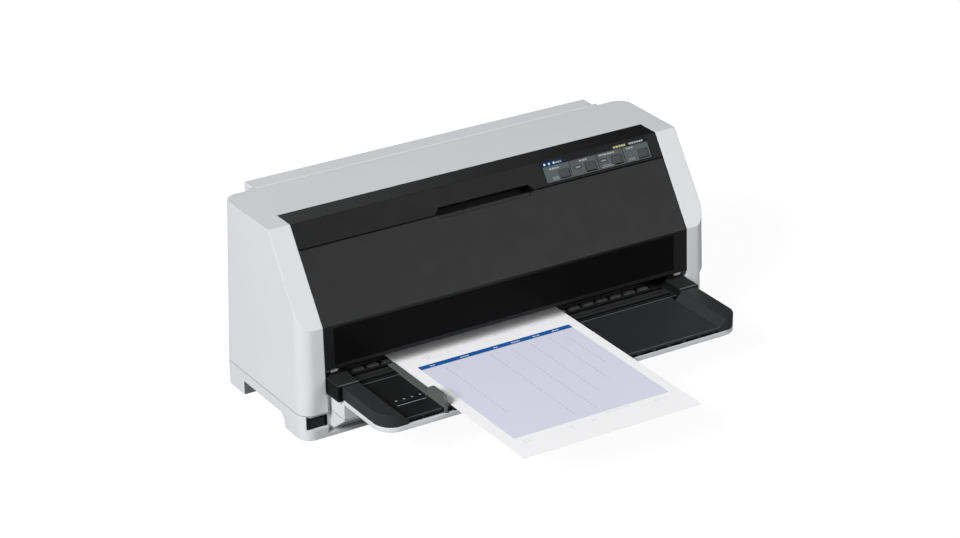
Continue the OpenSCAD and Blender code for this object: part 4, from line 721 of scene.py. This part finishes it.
# Marks that stand for words: x, place up the slant, lengths and height
MARKS = ((92.5, 102.9, (2.2, 2.6, 1.6), 1.7), (83.0, 97.2, (2.6, 3.2, 2.0, 2.4), 1.8),
         (84.0, 86.0, (1.5,) * 4, 0.5), (84.0, 87.2, (1.5,) * 4, 0.5),
         (84.0, 88.4, (1.5,) * 4, 0.5), (121.0, 98.3, (3.0, 2.4, 2.8), 1.7),
         (146.0, 98.4, (3.0, 2.2, 3.4, 2.6, 3.0, 2.0), 1.7), (146.0, 85.9, (2.2,) * 6, 0.6),
         (148.0, 87.4, (2.0,) * 4, 0.6), (181.0, 98.4, (2.0, 3.0, 2.2), 1.7),
         (181.0, 86.2, (2.0,) * 3, 0.6), (181.0, 87.6, (2.0,) * 3, 0.6),
         (186.0, 102.9, (3.2, 2.4, 2.8, 2.2, 3.0, 1.4), 2.0), (115.2, 92.4, (1.2,) * 3, 1.4),
         (147.6, 92.4, (1.2,) * 3, 1.4))
YELLOW_MARKS = (166.0, 102.7, (2.6, 3.2, 2.4, 3.0, 2.0), 2.2)


def on_oval(x, w, h, angle):
    """A point on an oval whose ends are fuller than an ellipse's."""
    c, n = math.cos(angle), math.sin(angle)
    return on_slant(x + math.copysign(abs(c) ** OVAL_POWER, c) * w,
                    OVAL_S + math.copysign(abs(n) ** OVAL_POWER, n) * h, MARK_LIFT)


def oval_line(x):
    """The outline of an oval, as short straight pieces."""
    outer = (OVAL_W / 2, OVAL_H / 2)
    inner = (outer[0] - OVAL_LINE, outer[1] - OVAL_LINE)
    quads = []
    for i in range(OVAL_STEPS):
        a0, a1 = (2 * math.pi * k / OVAL_STEPS for k in (i, i + 1))
        quads.append([on_oval(x, *outer, a0), on_oval(x, *outer, a1),
                      on_oval(x, *inner, a1), on_oval(x, *inner, a0)])
    return quads


def key_shadow(x):
    """The dark lines below a key and at its right."""
    right, low, high = x + KEY_W / 2, KEY_S - KEY_H / 2, KEY_S + KEY_H / 2
    return [slant_quad(x - KEY_W / 2 - SHADOW_NEAR, right + SHADOW_FAR, low - 1.2,
                       low - SHADOW_NEAR, LINE_LIFT),
            slant_quad(right + SHADOW_NEAR, right + SHADOW_FAR, low - SHADOW_NEAR, high - 0.6,
                       LINE_LIFT)]


def panel_words(rows):
    return [slant_quad(*bar, MARK_LIFT) for x, s, lengths, height in rows
            for bar in words(x, s, lengths, height, WORD_GAP)]


def panel_print():
    """Fields, lines and neutral marks on the key panel, and the dark line round it."""
    low, high = PANEL_S
    left, right = PANEL_X
    flat_pieces("panel_band", "key_panel", INK_BAND, [
        slant_quad(NAVY_X, right, BAND_S, high, PRINT_LIFT)])
    flat_pieces("panel_navy", "key_panel", INK_NAVY, [
        slant_quad(left, NAVY_X, BAND_S, high, PRINT_LIFT)])
    flat_pieces("panel_teal", "key_panel", INK_TEAL, [
        slant_quad(left, DIVIDERS[0], low, BAND_S, PRINT_LIFT),
        slant_quad(DIVIDERS[2], right, low, BAND_S, PRINT_LIFT)])
    frame_top = low - FRAME_GAP
    flat_pieces("panel_frame", "control_bezel", BLACK_INK_AND_SHADE, [
        slant_quad(*FRAME_X, FRAME_LOW, frame_top, TRIM_LIFT),
        slant_quad(FRAME_X[0], left - FRAME_GAP, frame_top, high, TRIM_LIFT),
        slant_quad(right + 0.3, FRAME_X[1], frame_top, high - 0.6, TRIM_LIFT)])
    lines = [slant_quad(x - DIVIDER_W / 2, x + DIVIDER_W / 2, low + DIVIDER_START, BAND_S,
                        LINE_LIFT) for x in DIVIDERS]
    for x in KEYS_X:
        lines += key_shadow(x)
    for x in OVALS_X:
        lines += oval_line(x)
    flat_pieces("panel_lines", "key_panel", EDGE_INK_AND_SHADOW, lines)
    flat_pieces("panel_marks", "key_panel", INK_PALE, panel_words(MARKS))
    flat_pieces("panel_marks_yellow", "key_panel", INK_YELLOW, panel_words([YELLOW_MARKS]))


# ============================================================ the tray's size marks
FIELD_X = (-180.5, -148.0)
FIELD_DARK_Y = ((-75.6, -72.0), (-68.0, -64.8))      # on both sides of the guide's slot
RULE_X, RULE_Y = (-183.5, -149.5), (-77.2, -76.2)
TICKS_X, TICK_W, TICK_Y = [-180.1 + 9.2 * i for i in range(4)], 2.2, (-67.9, -66.0)


def tray_marks():
    flat_pieces("tray_field", "front_tray", INK_BAND, [
        level_quad(*FIELD_X, *y, FLOOR_Z + TRIM_LIFT) for y in FIELD_DARK_Y])
    z = FLOOR_Z + MARK_LIFT
    marks = [level_quad(*RULE_X, *RULE_Y, z)]
    marks += [level_quad(x, x + TICK_W, *TICK_Y, z) for x in TICKS_X]
    flat_pieces("tray_marks", "front_tray", INK_PALE, marks)


# ============================================================ camera, light and floor, in metres
CAMERA_PLACE = (-1.5539, -2.3589, 1.4691)
AZIMUTH, ELEVATION = math.radians(-32.42), math.radians(25.19)
LENS, SENSOR = 115.0, 36.0                           # millimetres
LIGHT_AIM = Vector((0, 0, 0.1))
# Each light's direction from the aim, distance, diameter and watts
LIGHTS = {"key_light": ((-0.785, -0.295, 0.545), 12.0, 5.2, 1690),
          "fill_light": ((0.5, -0.75, 0.43), 5.0, 3.0, 88),
          "back_light": ((0.12, 0.90, 0.42), 3.5, 1.7, 4),
          "rear_light": ((-0.15, 0.97, 0.14), 5.0, 3.2, 42)}
SKY_SIDE = (-0.75, -0.25, 0.61)                      # toward the sky's brightest part
SKY_SPAN = (-0.6, 0.9)                               # from its darkest to its brightest part
SKY_TONES = ((0.0, (0.02, 0.02, 0.02)), (0.5, (0.07, 0.07, 0.072)), (1.0, (0.22, 0.22, 0.225)))
FLOOR_HALF = 14.0
FLOOR_TONES = ((0.3, (0.16, 0.16, 0.16)), (0.7, (0.17, 0.17, 0.17)))
FLOOR_SEEN = (0.10, 0.10, 0.10)                      # its colour as the camera sees it
FLOOR_GLOW = (0.04, 0.94)                            # its glow in the light, and as it is seen


def look_against(ob, place, axis):
    """Puts a camera or a light at a place, looking against an axis."""
    bpy.context.scene.collection.objects.link(ob)
    turn = axis.to_track_quat("Z", "Y").to_matrix().to_4x4()
    ob.matrix_world = Matrix.Translation(place) @ turn


def camera():
    data = bpy.data.cameras.new("camera")
    data.lens = LENS
    data.sensor_width = SENSOR
    data.clip_start = 0.05
    data.clip_end = 60.0
    ob = bpy.data.objects.new("camera", data)
    level = math.cos(ELEVATION)
    back = (math.sin(AZIMUTH) * level, -math.cos(AZIMUTH) * level, math.sin(ELEVATION))
    look_against(ob, Vector(CAMERA_PLACE), Vector(back))
    bpy.context.scene.camera = ob


def lights():
    for name, (direction, distance, size, power) in LIGHTS.items():
        data = bpy.data.lights.new(name, "AREA")
        data.shape = "DISK"
        data.size = size
        data.energy = power
        axis = Vector(direction).normalized()
        look_against(bpy.data.objects.new(name, data), axis * distance + LIGHT_AIM, axis)


def sky():
    """A soft sky that is brighter on the side of the key light."""
    world = bpy.data.worlds.new("studio")
    bpy.context.scene.world = world
    world.use_nodes = True
    nt = world.node_tree
    place = add(nt, "ShaderNodeTexCoord")
    turn = add(nt, "ShaderNodeVectorMath", {1: SKY_SIDE}, operation="DOT_PRODUCT")
    nt.links.new(place.outputs["Generated"], turn.inputs[0])
    spread = add(nt, "ShaderNodeMapRange", {"From Min": SKY_SPAN[0], "From Max": SKY_SPAN[1]})
    nt.links.new(turn.outputs["Value"], spread.inputs["Value"])
    tone = ramp(nt, spread.outputs["Result"], [(p, shade(colour)) for p, colour in SKY_TONES])
    nt.links.new(tone, nt.nodes["Background"].inputs["Color"])
    nt.nodes["Background"].inputs["Strength"].default_value = 1.0


def floor():
    """A pale floor. The camera sees it nearly white, and it throws little light on the part."""
    mesh = bpy.data.meshes.new("floor")
    half = FLOOR_HALF
    mesh.from_pydata([(-half, -half, 0), (half, -half, 0), (half, half, 0), (-half, half, 0)],
                     [], [(0, 1, 2, 3)])
    ob = bpy.data.objects.new("floor", mesh)
    bpy.context.scene.collection.objects.link(ob)
    mat, nt, bsdf = tree("floor_white")
    mesh.materials.append(mat)
    for key, value in (("Roughness", 0.9), ("Specular IOR Level", 0.0),
                       ("Emission Color", (1, 1, 1, 1))):
        bsdf.inputs[key].default_value = value
    ray = add(nt, "ShaderNodeLightPath")
    # A colour Mix has its factor at socket 0 and its colours at 6 and 7, and gives them at 2
    seen = add(nt, "ShaderNodeMix", data_type="RGBA")
    seen.inputs[7].default_value = shade(FLOOR_SEEN)
    tone = ramp(nt, noise(nt, 2.0), [(p, shade(colour)) for p, colour in FLOOR_TONES])
    nt.links.new(tone, seen.inputs[6])
    nt.links.new(ray.outputs["Is Camera Ray"], seen.inputs[0])
    nt.links.new(seen.outputs[2], bsdf.inputs["Base Color"])
    glow = add(nt, "ShaderNodeMapRange", {"To Min": FLOOR_GLOW[0], "To Max": FLOOR_GLOW[1]})
    nt.links.new(ray.outputs["Is Camera Ray"], glow.inputs["Value"])
    nt.links.new(glow.outputs["Result"], bsdf.inputs["Emission Strength"])


# ============================================================ the scene
dress_nodes()
mains_switch()
printed_form()
tray_rim()
front_seams()
slots_and_edges()
mount_trim()
panel_print()
tray_marks()
camera()
lights()
sky()
floor()
bpy.context.scene.view_settings.view_transform = "Standard"
